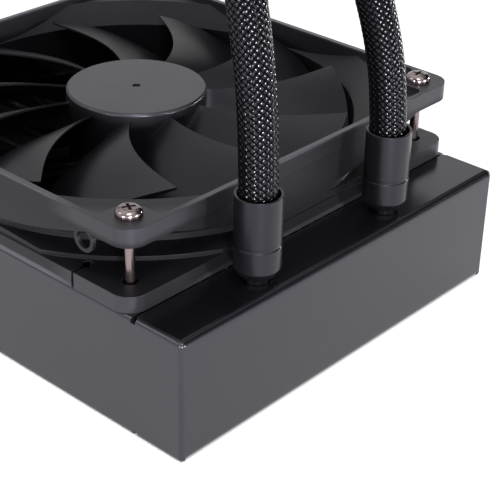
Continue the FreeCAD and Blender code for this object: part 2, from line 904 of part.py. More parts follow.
def stator(name, inner, core, tip, levels, width, build, count):
    """A laminated star: a ring on its carrier, poles and their shoes, and a coil on each pole."""
    ring = rod(f"{name}_ring", core, levels)
    bore = rod(f"{name}_bore", inner, (f"{levels[0]} - over", f"{levels[1]} + over"))
    arms = []
    coils = []
    for i in range(count):
        turn = FreeCAD.Rotation(UP, 360 / count * i)
        arm = doc.addObject("Part::Box", f"{name}_arm_{i}")
        tie(arm, Length=tip, Width=width, Height=f"{levels[1]} - ({levels[0]})")
        angle = math.radians(360 / count * i)
        s = round(math.sin(angle), 6)
        c = round(math.cos(angle), 6)
        at(arm, f"{width} / 2 * ({s})", f"-{width} / 2 * ({c})", levels[0], turn)
        arms.append(arm)
        coil = doc.addObject("Part::Box", f"{name}_coil_{i}")
        wide = f"({width} + 2 * {build})"
        tie(
            coil,
            Length=f"({tip}) - ({core}) - pole_shoe - 2 * coil_clear - {build} / 2",
            Width=wide,
            Height=f"{levels[1]} - ({levels[0]}) + 2 * ({build} - coil_clear)",
        )
        out = f"(({core}) + coil_clear)"
        at(
            coil,
            f"{out} * ({c}) + {wide} / 2 * ({s})",
            f"{out} * ({s}) - {wide} / 2 * ({c})",
            f"{levels[0]} - {build} + coil_clear",
            turn,
        )
        coils.append(coil)
    shoe = rod(f"{name}_shoe_out", tip, levels)
    shoe_in = rod(f"{name}_shoe_in", f"{tip} - pole_shoe", (f"{levels[0]} - over", f"{levels[1]} + over"))
    wedges = []
    for i in range(count):
        wedge = doc.addObject("Part::Cylinder", f"{name}_wedge_{i}")
        tie(wedge, Radius=f"{tip} + over", Height=f"{levels[1]} - ({levels[0]})")
        spread = 360 / count * value("shoe_share")
        wedge.Angle = spread
        at(wedge, "0", "0", levels[0], FreeCAD.Rotation(UP, 360 / count * i - spread / 2))
        wedges.append(wedge)
    shoes = common(
        f"{name}_shoes",
        [cut(f"{name}_shoe_ring", shoe, [shoe_in]), fuse(f"{name}_wedges", wedges)],
    )
    tip_ring = rod(f"{name}_tip", tip, levels)
    arms_in = common(f"{name}_arms", [fuse(f"{name}_arm_star", arms), tip_ring])
    iron = cut(f"{name}_iron", fuse(f"{name}_star", [ring, arms_in, shoes]), [bore])
    wound = cut(f"{name}_wound", fuse(f"{name}_coils", coils), [fuse(f"{name}_arm_room", arms)])
    return iron, wound


iron, wound = stator(
    "fan_stator",
    "pillar_radius",
    "pillar_radius + stator_ring",
    POLE_RADIUS,
    stack_levels,
    "pole_width",
    "coil_build",
    int(value("pole_count")),
)
part(iron, "fan_stator_core")
part(wound, "fan_stator_windings")

# Fan rotor: a cup with swept blades, made as one body
rotor = doc.addObject("PartDesign::Body", "fan_rotor")


def feature(body, kind, name, sketch, **settings):
    made = body.newObject(f"PartDesign::{kind}", name)
    if kind in ("Revolution", "Groove"):
        made.Profile = sketch
        made.ReferenceAxis = (sketch, ["V_Axis"])
        made.Angle = 360
    for word, setting in settings.items():
        setattr(made, word, setting)
    body.Tip = made
    doc.recompute()
    return made


hub_sketch = outline(
    rotor,
    "hub_section",
    "XZ",
    [
        ("0", SKIRT),
        ("hub_radius", SKIRT),
        ("hub_radius", HUB_TOP),
        ("dimple_radius", HUB_TOP),
        ("dimple_radius", f"{HUB_TOP} - dimple_depth"),
        ("0", f"{HUB_TOP} - dimple_depth"),
    ],
)
hub = feature(rotor, "Revolution", "hub", hub_sketch)
top_level = value(HUB_TOP)
hub_reach = value("hub_radius")
rim_edges = [
    f"Edge{i}"
    for i, edge in enumerate(hub.Shape.Edges, 1)
    if abs(edge.BoundBox.ZMin - top_level) < 0.01
    and abs(edge.BoundBox.ZMax - top_level) < 0.01
    and edge.BoundBox.XMax > hub_reach - 0.5
]
hub_edge = rotor.newObject("PartDesign::Fillet", "hub_edge")
hub_edge.Base = (hub, rim_edges)
tie(hub_edge, Radius="hub_round")
rotor.Tip = hub_edge
doc.recompute()

# Blade stations: distance from the axis, and how far along the blade's sweep each one is
BLADE_STATIONS = [(12.0, 0.0), (26.0, 0.01), (38.0, 0.18), (50.0, 0.5), (61.0, 0.84), (71.0, 1.08)]


def blade_station(index, distance, swept):
    """One section of the blade, a thin bowed strip in a plane square to its length."""
    share = (distance - BLADE_STATIONS[0][0]) / (BLADE_STATIONS[-1][0] - BLADE_STATIONS[0][0])
    lead_angle = math.radians(value("sweep_angle") * swept)
    chord = value("root_chord_angle") * (1 - share) + value("tip_chord_angle") * share
    trail_angle = lead_angle - math.radians(chord)
    fall = value("root_fall") * (1 - share) + value("tip_fall") * share
    bow = value("root_bow") * (1 - share) + value("tip_bow") * share
    top = value(f"{FAN_TOP} - blade_drop")
    lead = V(distance * math.tan(lead_angle), top, 0)
    trail = V(distance * math.tan(trail_angle), top - fall, 0)
    crown = V((lead.x + trail.x) / 2, top - fall * bow, 0)
    edge = V(0, -value("blade_edge"), 0)
    thick = V(0, -value("blade_thickness"), 0)
    sketch = rotor.newObject("Sketcher::SketchObject", f"blade_station_{index}")
    base = [o for o in rotor.Origin.OriginFeatures if o.Role == "YZ_Plane"][0]
    sketch.AttachmentSupport = [(base, "")]
    sketch.MapMode = "FlatFace"
    sketch.AttachmentOffset = FreeCAD.Placement(V(0, 0, distance), FreeCAD.Rotation())
    sketch.addGeometry(Part.Arc(lead, crown, trail), False)
    sketch.addGeometry(Part.LineSegment(trail, trail + edge), False)
    sketch.addGeometry(Part.Arc(trail + edge, crown + thick, lead + edge), False)
    sketch.addGeometry(Part.LineSegment(lead + edge, lead), False)
    return sketch


stations = [blade_station(i, d, s) for i, (d, s) in enumerate(BLADE_STATIONS)]
doc.recompute()
blade = rotor.newObject("PartDesign::AdditiveLoft", "blade")
blade.Profile = stations[0]
blade.Sections = stations[1:]
blade.Ruled = False
rotor.Tip = blade
doc.recompute()
ring_of_blades = rotor.newObject("PartDesign::PolarPattern", "blades")
ring_of_blades.Originals = [blade]
ring_of_blades.Axis = (hub_sketch, ["V_Axis"])
ring_of_blades.Angle = 360
tie(ring_of_blades, Occurrences="blade_count")
rotor.Tip = ring_of_blades
doc.recompute()
tip_sketch = outline(
    rotor,
    "tip_section",
    "XZ",
    [
        ("tip_radius", "rad_height"),
        ("tip_radius + 20 * over", "rad_height"),
        ("tip_radius + 20 * over", f"{FAN_TOP} + 5 * over"),
        ("tip_radius", f"{FAN_TOP} + 5 * over"),
    ],
)
feature(rotor, "Groove", "tip_trim", tip_sketch)
BOSS_LOW = f"({HUB_UNDER} - rotor_boss_length)"
cavity_sketch = outline(
    rotor,
    "cavity_section",
    "XZ",
    [
        ("0", f"{SKIRT} - 10 * over"),
        ("hub_radius - hub_wall", f"{SKIRT} - 10 * over"),
        ("hub_radius - hub_wall", HUB_UNDER),
        ("rotor_boss", HUB_UNDER),
        ("rotor_boss", BOSS_LOW),
        ("shaft_radius", BOSS_LOW),
        ("shaft_radius", HUB_UNDER),
        ("0", HUB_UNDER),
    ],
)
feature(rotor, "Groove", "hub_cavity", cavity_sketch)
blade_turn = FreeCAD.Rotation(UP, value("blade_turn_angle - sweep_angle"))
rotor.Placement = FreeCAD.Placement(V(0, 0, 0), blade_turn)
part(rotor, "fan_rotor")

# The rotor's steel ring, magnet, shaft and the clip that keeps it in its bearing
YOKE_OUT = "(hub_radius - hub_wall - fit_gap)"
YOKE_IN = "(hub_radius - hub_wall - yoke_wall)"


def ring(name, inner, outer, low, high, x="0", y="0"):
    return turned(name, [(inner, low), (outer, low), (outer, high), (inner, high)], x, y)


part(ring("rotor_yoke", YOKE_IN, YOKE_OUT, f"{SKIRT} + yoke_setback", HUB_UNDER), "rotor_yoke")
magnet_low = f"({SKIRT} + yoke_setback)"
part(
    ring("rotor_magnet", MAGNET_INNER, YOKE_IN, magnet_low, f"{magnet_low} + magnet_length"),
    "rotor_magnet",
)
CLIP_TOP = f"({BEARING_LOW} - clip_clear)"
SHAFT_LOW = f"({CLIP_TOP} - clip_thickness - shaft_end)"
part(rod("rotor_shaft", "shaft_radius", (SHAFT_LOW, HUB_UNDER)), "rotor_shaft")
part(
    ring("shaft_clip", "shaft_radius", "clip_radius", f"{CLIP_TOP} - clip_thickness", CLIP_TOP),
    "shaft_clip",
)


# Fan screws: pan heads on the frame's corners, down through the frame into the side plates
def fan_screw(i, x, y):
    section = [
        ("0", f"{FAN_TOP} - screw_length"),
        ("screw_radius", f"{FAN_TOP} - screw_length"),
        ("screw_radius", FAN_TOP),
        ("screw_head_radius", FAN_TOP),
        ("screw_head_radius", f"{FAN_TOP} + screw_side_height"),
        ("screw_shoulder_radius", f"{FAN_TOP} + screw_shoulder_height"),
        ("screw_crown_radius", f"{FAN_TOP} + screw_head_height"),
        ("0", f"{FAN_TOP} + screw_head_height"),
    ]
    return turned(f"fan_screw_{i}", section, x + SCREW_AT, y + SCREW_AT)


part(group("fan_screws", four(fan_screw)), "fan_screws")

# Cold plate with its micro fins
PX, PY = PUMP_MIDDLE


def centred(half, middle):
    return (f"{middle} - {half}", f"{middle} + {half}")


plate_x = centred("cold_plate_width / 2", PX)
plate_y = centred("cold_plate_width / 2", PY)
plate_blank = block("cold_plate_blank", plate_x, plate_y, ("0", "cold_plate_thickness"))
plate_rounded = softened("cold_plate_rounded", plate_blank, "cold_plate_corner", upright)
micro_top = "(cold_plate_thickness + micro_height)"
micro_step = "((micro_width + micro_gap) / micro_count)"
micro_fins = []
for i in range(int(value("micro_count"))):
    low = f"({PY} - micro_width / 2 + {i} * {micro_step})"
    spot = (low, f"{low} + {micro_step} - micro_gap")
    levels = ("cold_plate_thickness - over", micro_top)
    micro_fins.append(block(f"micro_fin_{i}", centred("micro_width / 2", PX), spot, levels))


def spot_x(sign):
    return f"{PX} {sign or '+'} plate_screw_along"


def spot_y(sign):
    return f"{PY} {sign or '+'} plate_screw_along"


def plate_hole(i, x, y):
    section = [
        ("0", "-over"),
        ("plate_screw_head + plate_screw_clear", "-over"),
        ("plate_screw_head + plate_screw_clear", "plate_screw_head_height"),
        ("plate_screw_radius + plate_screw_clear", "plate_screw_head_height"),
        ("plate_screw_radius + plate_screw_clear", "cold_plate_thickness + over"),
        ("0", "cold_plate_thickness + over"),
    ]
    return turned(f"plate_hole_{i}", section, spot_x(x), spot_y(y))


part(
    cut("cold_plate", fuse("cold_plate_fins", [plate_rounded] + micro_fins), four(plate_hole)),
    "cold_plate",
)


def plate_screw(i, x, y):
    section = [
        ("0", "plate_screw_sink"),
        ("plate_screw_head", "plate_screw_sink"),
        ("plate_screw_head", "plate_screw_head_height"),
        ("plate_screw_radius", "plate_screw_head_height"),
        ("plate_screw_radius", "plate_screw_head_height + plate_screw_length"),
        ("0", "plate_screw_head_height + plate_screw_length"),
    ]
    return turned(f"plate_screw_{i}", section, spot_x(x), spot_y(y))


part(group("plate_screws", four(plate_screw)), "plate_screws")

# Mount bracket: a steel ring with four ears, held between the cold plate and the shoulder
ear_at = "(bracket_pitch / 2)"
bracket_levels = ("cold_plate_thickness", PUMP_SHOULDER)
ears = []
ear_holes = []
for i, (sx, sy) in enumerate(((-1, -1), (1, -1), (1, 1), (-1, 1))):
    x = f"({PX} + {sx} * {ear_at})"
    y = f"({PY} + {sy} * {ear_at})"
    ears.append(rod(f"ear_{i}", "bracket_ear", bracket_levels, x, y))
    arm = doc.addObject("Part::Box", f"ear_arm_{i}")
    tie(
        arm,
        Length=f"{ear_at} * {math.sqrt(2):.6f} - neck_radius - over",
        Width="bracket_ear * 2",
        Height="bracket_thickness",
    )
    turn = math.degrees(math.atan2(sy, sx))
    c = math.cos(math.radians(turn))
    s = math.sin(math.radians(turn))
    at(
        arm,
        f"{PX} + (neck_radius + over) * ({c:.6f}) + bracket_ear * ({s:.6f})",
        f"{PY} + (neck_radius + over) * ({s:.6f}) - bracket_ear * ({c:.6f})",
        "cold_plate_thickness",
        FreeCAD.Rotation(UP, turn),
    )
    ears.append(arm)
    through = ("cold_plate_thickness - over", f"{PUMP_SHOULDER} + over")
    ear_holes.append(rod(f"ear_hole_{i}", "bracket_hole_radius", through, x, y))
bracket_ring = rod("bracket_ring", "pump_radius + bracket_brim", bracket_levels, PX, PY)
neck_room = rod(
    "neck_room",
    "neck_radius + fit_gap",
    ("cold_plate_thickness - over", f"{PUMP_SHOULDER} + over"),
    PX,
    PY,
)
bracket_blank = fuse("bracket_blank", [bracket_ring] + ears)
part(cut("mount_bracket", bracket_blank, ear_holes + [neck_room]), "mount_bracket")

# Pump housing: fin chamber below, pump chamber over it, can for the magnet, dry space above
FIN_ROOF = f"({micro_top} + jet_gap)"
WET_LOW = f"({FIN_ROOF} + wet_floor)"
WET_HIGH = f"({WET_LOW} + impeller_disc + vane_height + 2 * impeller_clear)"
CAN_TOP = f"({WET_HIGH} + can_height)"
DRY_LOW = f"({WET_HIGH} + dry_floor)"
CAP_LOW = "(pump_height - cap_height)"
housing_out = turned(
    "housing_outside",
    [
        ("0", "cold_plate_thickness"),
        ("neck_radius", "cold_plate_thickness"),
        ("neck_radius", PUMP_SHOULDER),
        ("pump_radius", PUMP_SHOULDER),
        ("pump_radius", CAP_LOW),
        ("0", CAP_LOW),
    ],
    PX,
    PY,
)
dry_space = turned(
    "dry_space",
    [
        ("can_radius + can_wall", DRY_LOW),
        ("dry_radius", DRY_LOW),
        ("dry_radius", f"{CAP_LOW} + over"),
        ("0", f"{CAP_LOW} + over"),
        ("0", f"{CAN_TOP} + can_wall"),
        ("can_radius + can_wall", f"{CAN_TOP} + can_wall"),
    ],
    PX,
    PY,
)
wet_space = turned(
    "wet_space",
    [
        ("0", WET_LOW),
        ("impeller_radius + impeller_clear", WET_LOW),
        ("impeller_radius + impeller_clear", WET_HIGH),
        ("can_radius", WET_HIGH),
        ("can_radius", CAN_TOP),
        ("0", CAN_TOP),
    ],
    PX,
    PY,
)
seal_groove = ring(
    "seal_groove",
    "seal_radius - seal_thickness",
    "seal_radius + seal_thickness",
    "cold_plate_thickness - over",
    "cold_plate_thickness + 2 * seal_thickness",
    PX,
    PY,
)
fin_room = block(
    "fin_room",
    centred("(micro_width / 2 + micro_margin)", PX),
    centred("(micro_width / 2 + micro_margin)", PY),
    ("cold_plate_thickness - over", FIN_ROOF),
)
jet = rod("jet", "jet_radius", (f"{FIN_ROOF} - over", f"{WET_LOW} + over"), f"{PX} - jet_offset", PY)
pin_hole = rod("pin_hole", "pin_radius", (f"{CAN_TOP} - over", f"{CAN_TOP} + pin_seat"), PX, PY)


def housing_screw_hole(i, x, y):
    top = "plate_screw_head_height + plate_screw_length + plate_screw_spare"
    levels = ("cold_plate_thickness - over", top)
    return rod(f"housing_hole_{i}", "plate_screw_radius + fit_gap", levels, spot_x(x), spot_y(y))


# The left port feeds the impeller through a channel, the right one drains the fin chamber
posts = []
ports = []
PORT_FLOORS = {"left": WET_LOW, "right": micro_top}
for side, (x, y) in PUMP_SPOTS.items():
    posts.append(rod(f"port_post_{side}", "stem_radius + port_wall", (DRY_LOW, CAP_LOW), x, y))
    ports.append(rod(f"port_{side}", "barb_bore", (PORT_FLOORS[side], f"{CAP_LOW} + over"), x, y))
    ports.append(
        rod(f"port_seat_{side}", "stem_radius", (f"{CAP_LOW} - stem_length", f"{CAP_LOW} + over"), x, y)
    )
channel = doc.addObject("Part::Box", "channel")
channel_turn = -math.atan2(value("pump_barb_pitch / 2"), value("pump_barb_along"))
c = math.cos(channel_turn)
s = math.sin(channel_turn)
tie(
    channel,
    Length="sqrt(pump_barb_along ^ 2 + (pump_barb_pitch / 2) ^ 2)",
    Width="2 * barb_bore",
    Height="channel_height",
)
at(
    channel,
    f"{PX} + barb_bore * ({s:.6f})",
    f"{PY} - barb_bore * ({c:.6f})",
    WET_LOW,
    FreeCAD.Rotation(UP, math.degrees(channel_turn)),
)
ports.append(channel)
hollow_housing = cut("hollow_housing", housing_out, [dry_space])
posted = fuse("posted_housing", [hollow_housing] + posts)
part(
    cut(
        "pump_housing",
        posted,
        [wet_space, seal_groove, fin_room, jet, pin_hole] + ports + four(housing_screw_hole),
    ),
    "pump_housing",
)

seal = doc.addObject("Part::Torus", "plate_seal")
tie(seal, Radius1="seal_radius", Radius2="seal_thickness")
at(seal, PX, PY, "cold_plate_thickness + seal_thickness")
part(seal, "plate_seal")

# Pump cap, a plain round lid that the two fittings pass through
cap_blank = rod("cap_blank", "pump_radius", (CAP_LOW, "pump_height"), PX, PY)
pump_top = value("pump_height")


def cap_edge(middle, along):
    return abs(middle.z - pump_top) < 0.01


cap_rounded = softened("cap_rounded", cap_blank, "cap_round", cap_edge)
cap_holes = [
    rod(f"cap_hole_{side}", "stem_radius", (f"{CAP_LOW} - over", "pump_height + over"), x, y)
    for side, (x, y) in PUMP_SPOTS.items()
]
cap_levels = (f"{CAP_LOW} - over", f"{CAP_LOW} + cap_room")
cap_hollow = rod("cap_hollow", "pump_board_radius", cap_levels, PX, PY)
part(cut("pump_cap", cap_rounded, cap_holes + [cap_hollow]), "pump_cap")

# Impeller with its vanes, the magnet in the can and the pin it turns on
impeller_low = f"({WET_LOW} + impeller_clear)"
disc_top = f"({impeller_low} + vane_height + impeller_disc)"
IMPELLER_TOP = f"({CAN_TOP} - impeller_top_gap)"
NECK = "can_radius - rotor_clear - impeller_magnet_wall"
disc_levels = (f"{impeller_low} + vane_height", disc_top)
vane_parts = [
    rod("impeller_disc_plate", "impeller_radius", disc_levels, PX, PY),
    rod("impeller_core", "impeller_hub", (impeller_low, disc_top), PX, PY),
    rod("impeller_neck", NECK, (disc_top, IMPELLER_TOP), PX, PY),
]
for i in range(int(value("vane_count"))):
    angle = 360 / int(value("vane_count")) * i
    c = math.cos(math.radians(angle))
    s = math.sin(math.radians(angle))
    vane = doc.addObject("Part::Box", f"vane_{i}")
    tie(
        vane,
        Length="impeller_radius - impeller_hub + vane_root",
        Width="vane_thickness",
        Height="vane_height + impeller_disc / 2",
    )
    at(
        vane,
        f"{PX} + (impeller_hub - vane_root) * ({c:.6f}) + vane_thickness / 2 * ({s:.6f})",
        f"{PY} + (impeller_hub - vane_root) * ({s:.6f}) - vane_thickness / 2 * ({c:.6f})",
        impeller_low,
        FreeCAD.Rotation(UP, angle),
    )
    vane_parts.append(vane)
bore_levels = (f"{impeller_low} - over", f"{CAN_TOP} + over")
pin_bore = rod("pin_bore", "pin_radius + run_gap", bore_levels, PX, PY)
part(cut("pump_impeller", fuse("impeller_blank", vane_parts), [pin_bore]), "pump_impeller")
part(
    ring("impeller_magnet", NECK, "can_radius - rotor_clear", disc_top, IMPELLER_TOP, PX, PY),
    "impeller_magnet",
)
part(rod("impeller_pin", "pin_radius", (WET_LOW, f"{CAN_TOP} + pin_seat"), PX, PY), "impeller_pin")

# Pump stator round the can, and its board above
stator_low = f"({DRY_LOW} + pump_stator_lift)"
pump_levels = (stator_low, f"({stator_low} + pump_stator_height)")
pump_iron, pump_wound = stator(
    "pump_stator",
    "can_radius + can_wall",
    "can_radius + can_wall + pump_stator_ring",
    "pump_stator_radius",
    pump_levels,
    "pump_pole_width",
    "pump_coil_build",
    int(value("pole_count")),
)
for thing in (pump_iron, pump_wound):
    at(thing, PX, PY)
part(pump_iron, "pump_stator_core")
part(pump_wound, "pump_stator_windings")
board_levels = (CAP_LOW, f"{CAP_LOW} + board_thickness")
part(rod("pump_board", "pump_board_radius", board_levels, PX, PY), "pump_board")

# Every object has to be sound before anything is written
doc.recompute()
for thing in doc.Objects:
    if "Invalid" in thing.State or "Error" in thing.State:
        raise RuntimeError(f"{thing.Name} failed: {thing.State}")
for thing in parts:
    if thing.Shape.isNull() or not thing.Shape.isValid():
        raise RuntimeError(f"{thing.Label} has no valid shape")

os.makedirs("parts", exist_ok=True)
for thing in parts:
    thing.Shape.exportStep(f"parts/{thing.Label}.step")
print(len(parts), "parts,", sum(len(thing.Shape.Solids) for thing in parts), "solids")
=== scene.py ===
# Looks of a liquid cooler for a processor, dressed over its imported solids.
#
# Metres, in the solids' own frame. Sizes are written in millimetres and turned by mm().
import json
import math

import bmesh
import bpy
from mathutils import Matrix, Vector

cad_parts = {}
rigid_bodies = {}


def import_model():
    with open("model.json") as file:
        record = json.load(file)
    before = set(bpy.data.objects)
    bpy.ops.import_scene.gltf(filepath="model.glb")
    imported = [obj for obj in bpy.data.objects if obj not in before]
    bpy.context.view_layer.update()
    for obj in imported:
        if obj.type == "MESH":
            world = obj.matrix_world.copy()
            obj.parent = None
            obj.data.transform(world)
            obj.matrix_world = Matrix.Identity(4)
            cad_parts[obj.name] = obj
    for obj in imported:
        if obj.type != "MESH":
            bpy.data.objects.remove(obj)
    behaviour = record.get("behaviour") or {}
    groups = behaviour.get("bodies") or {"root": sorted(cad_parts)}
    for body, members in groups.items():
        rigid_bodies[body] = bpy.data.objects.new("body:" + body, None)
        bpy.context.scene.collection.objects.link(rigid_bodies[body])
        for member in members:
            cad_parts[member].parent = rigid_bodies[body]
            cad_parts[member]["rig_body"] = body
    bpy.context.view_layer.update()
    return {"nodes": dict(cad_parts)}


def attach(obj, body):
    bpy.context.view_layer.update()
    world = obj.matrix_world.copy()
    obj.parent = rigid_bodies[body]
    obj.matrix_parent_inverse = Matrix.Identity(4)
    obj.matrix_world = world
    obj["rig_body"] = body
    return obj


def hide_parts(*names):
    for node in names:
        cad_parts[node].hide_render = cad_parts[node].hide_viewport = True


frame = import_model()
nodes = frame["nodes"]


# Small helpers
def mm(value):
    return value / 1000.0


def spot(x, y, z):
    """A place, from millimetres."""
    return Vector((mm(x), mm(y), mm(z)))


def around(azimuth_deg, elevation_deg, distance):
    """A place round the object, its azimuth turned from -Y towards +X."""
    a, e = math.radians(azimuth_deg), math.radians(elevation_deg)
    return tuple(
        distance * v for v in (math.sin(a) * math.cos(e), -math.cos(a) * math.cos(e), math.sin(e))
    )


def paint(code):
    """A colour written as sRGB hex, in linear light."""
    shares = [int(code[i : i + 2], 16) / 255 for i in (0, 2, 4)]
    linear = [s / 12.92 if s <= 0.04045 else ((s + 0.055) / 1.055) ** 2.4 for s in shares]
    return (*linear, 1.0)


def put(name, data):
    """A new object in the scene."""
    made = bpy.data.objects.new(name, data)
    bpy.context.scene.collection.objects.link(made)
    return made


def add(tree, kind, links=None, **settings):
    """Adds a node, with its settings, and each input as a number or the socket it comes from."""
    made = tree.nodes.new(kind)
    for word, setting in settings.items():
        setattr(made, word, setting)
    for socket, source in (links or {}).items():
        if isinstance(source, bpy.types.NodeSocket):
            tree.links.new(source, made.inputs[socket])
        else:
            made.inputs[socket].default_value = source
    return made


# Materials
# Highlights on the black skins lean slightly blue, as the photograph's do
COOL = paint("f0ecff")
# Moulding and handling leave slow clouds on a skin, this far across, that change its gloss
CLOUD_MM = 18.0
GLOSS_SWING = 0.08


def surface(name, colour, roughness, metallic=0.0, **sockets):
    """A material with its shader; its constants are set on the shader's own sockets."""
    made = bpy.data.materials.new(name)
    made.use_nodes = True
    tree = made.node_tree
    tree.nodes.clear()
    shader = add(tree, "ShaderNodeBsdfPrincipled")
    shader.inputs["Base Color"].default_value = paint(colour)
    shader.inputs["Roughness"].default_value = roughness
    shader.inputs["Metallic"].default_value = metallic
    for word, number in sockets.items():
        shader.inputs[word.replace("_", " ")].default_value = number
    add(tree, "ShaderNodeOutputMaterial", {"Surface": shader.outputs[0]})
    return made, tree, shader


def grained(name, colour, roughness, grain_mm, depth_mm, cloud=0.12, **more):
    """A skin with fine grain in its height and slow clouds in its colour and gloss.

    Real grain of moulds, paint and plate is finer than a tenth of a millimetre. It is drawn a few
    times coarser, so that it shows. Gives the material, its tree, its shader and the place that
    its patterns read.
    """
    made, tree, shader = surface(name, colour, roughness, **more)
    place = add(tree, "ShaderNodeTexCoord").outputs["Object"]
    grain = add(
        tree,
        "ShaderNodeTexNoise",
        {"Vector": place, "Scale": 1 / mm(grain_mm), "Detail": 2.0, "Roughness": 0.6},
    )
    bump = add(
        tree,
        "ShaderNodeBump",
        {"Strength": 1.0, "Distance": mm(depth_mm), "Height": grain.outputs["Fac"]},
    )
    cloudy = add(
        tree,
        "ShaderNodeTexNoise",
        {"Vector": place, "Scale": 1 / mm(CLOUD_MM), "Detail": 3.0, "Roughness": 0.55},
    ).outputs["Fac"]
    darker, paler = (
        tuple(c * share for c in paint(colour)[:3]) + (1.0,) for share in (1 - cloud, 1 + cloud)
    )
    tone = add(tree, "ShaderNodeMix", {0: cloudy, 6: darker, 7: paler}, data_type="RGBA")
    gloss = add(
        tree,
        "ShaderNodeMapRange",
        {
            "Value": cloudy,
            "From Min": 0.3,
            "From Max": 0.7,
            "To Min": roughness * (1 - GLOSS_SWING),
            "To Max": roughness * (1 + GLOSS_SWING),
        },
    )
    tree.links.new(tone.outputs[2], shader.inputs["Base Color"])
    tree.links.new(gloss.outputs[0], shader.inputs["Roughness"])
    tree.links.new(bump.outputs[0], shader.inputs["Normal"])
    return made, tree, shader, place


def from_axis(tree, place):
    """How far a point lies from the fan's axis."""
    level = add(tree, "ShaderNodeVectorMath", {0: place, 1: (1.0, 1.0, 0.0)}, operation="MULTIPLY")
    reach = add(tree, "ShaderNodeVectorMath", {0: level.outputs[0]}, operation="LENGTH")
    return reach.outputs["Value"]


# Powder coat on steel: satin, with the soft orange peel that sprayed powder melts into
powder_coat = grained(
    "powder_coat_satin_black", "080709", 0.22, 0.9, 0.002, Specular_Tint=COOL
)[0]
# Same coat on the folded side plates, its colour painted paler than the tanks' as painted light,
# since they catch more light
plate_coat_painted_lit = grained("powder_coat_side_plate_painted_lit", "100f11", 0.3, 0.9, 0.004, Specular_Tint=COOL)[0]
# Glass filled nylon, moulded in an eroded tool: fine matt grain
frame_plastic, tree, shader, place = grained(
    "moulded_glass_nylon", "0d0c0e", 0.4, 0.45, 0.01, Specular_Tint=COOL
)
# The duct's wall is eroded coarser, so it is duller than the rim's top and the corner flanges.
# Three shares pick them out, by the height from the frame's middle and the reach from its axis.
FRAME_MIDDLE_MM = 51.0
DUCT_GLOSS, FLANGE_GLOSS, RING_EXTRA = 0.18, 0.46, 0.5
height = add(tree, "ShaderNodeSeparateXYZ", {0: place}).outputs["Z"]
from_middle = add(
    tree, "ShaderNodeMath", {0: height, 1: mm(FRAME_MIDDLE_MM)}, operation="SUBTRACT"
)
away = add(tree, "ShaderNodeMath", {0: from_middle.outputs[0]}, operation="ABSOLUTE").outputs[0]
rim, corner, flange = (
    add(
        tree, "ShaderNodeMapRange", {"Value": value, "From Min": mm(none), "From Max": mm(whole)}
    ).outputs[0]
    for value, none, whole in (
        (away, 11.2, 11.9),
        (from_axis(tree, place), 80.0, 86.0),
        (away, 7.0, 8.5),
    )
)
corner_flange = add(tree, "ShaderNodeMath", {0: flange, 1: corner}, operation="MULTIPLY")
smooth = add(
    tree, "ShaderNodeMath", {0: rim, 1: corner_flange.outputs[0]}, operation="MAXIMUM"
)
gloss = add(
    tree,
    "ShaderNodeMapRange",
    {"Value": smooth.outputs[0], "To Min": DUCT_GLOSS, "To Max": FLANGE_GLOSS},
)
# The narrow ring on top of the duct is the smoothest: it draws a thin bright line
ring = add(tree, "ShaderNodeMath", {0: rim, 1: corner}, operation="SUBTRACT", use_clamp=True)
total = add(
    tree,
    "ShaderNodeMath",
    {0: ring.outputs[0], 1: RING_EXTRA, 2: gloss.outputs[0]},
    operation="MULTIPLY_ADD",
)
tree.links.new(total.outputs[0], shader.inputs["Specular IOR Level"])
# The same nylon in the rotor. Its cap is polished in the tool and its blades are matt, so it
# has more gloss inside the cap's radius
rotor_plastic, tree, shader, place = grained(
    "moulded_glass_nylon_rotor", "0a090b", 0.36, 0.4, 0.008, Specular_Tint=COOL
)
CAP_RADIUS_MM, BLADES_FROM_MM = 22.5, 24.0
CAP_GLOSS, BLADE_GLOSS = 0.57, 0.25
polish = add(
    tree,
    "ShaderNodeMapRange",
    {
        "Value": from_axis(tree, place),
        "From Min": mm(CAP_RADIUS_MM),
        "From Max": mm(BLADES_FROM_MM),
        "To Min": CAP_GLOSS,
        "To Max": BLADE_GLOSS,
    },
)
tree.links.new(polish.outputs[0], shader.inputs["Specular IOR Level"])
# Turned aluminium under black anodising: satin, its turning marks blurred to an even grain
collar_black = grained(
    "anodised_collar",
    "080709",
    0.3,
    0.5,
    0.003,
    cloud=0.06,
    Specular_IOR_Level=0.33,
    Specular_Tint=COOL,
)[0]
# Thin aluminium fins and tubes under one coat of matt black paint: dark folds with dull edges
core_black = grained("painted_core_aluminium", "0a0a0b", 0.55, 0.3, 0.004)[0]
# The pump's moulded shell: a dark skin with a fine even grain and a broad soft highlight
pump_plastic = grained("moulded_pump_shell", "1f1e21", 0.4, 0.5, 0.008)[0]
# Its cap, moulded smoother: the same black, with a tighter highlight that sets it off
cap_plastic = grained("satin_pump_cap", "1c1b1e", 0.28, 0.5, 0.003)[0]
# Sprayed paint on sheet steel: a dull dark grey with slight orange peel
bracket_paint = grained("painted_bracket_steel", "262628", 0.45, 0.7, 0.006)[0]
# Ground steel: a pale grey metal, its reflections spread by the grinding's fine grain
bore_steel = grained("plain_ground_steel", "b9b9bb", 0.32, 0.2, 0.002, metallic=1.0)[0]
# Milled copper: a warm pink metal with a half sharp reflection
copper = grained("milled_copper", "c98a6a", 0.3, 0.3, 0.003, metallic=1.0)[0]
# Pressed and sintered bronze: a dull yellow metal, its pores a fine grain
bronze = grained("sintered_bronze", "a98a4f", 0.45, 0.25, 0.006, metallic=1.0)[0]
# Pressed ferrite: charcoal grey, matt and slightly rough like fired clay
ferrite = grained("pressed_ferrite", "2b2b2d", 0.6, 0.25, 0.01)[0]
# Solder mask over copper tracks: dark green lacquer with a wet looking, slightly uneven gloss
board_green = grained("board_solder_mask", "12402a", 0.3, 1.2, 0.01)[0]
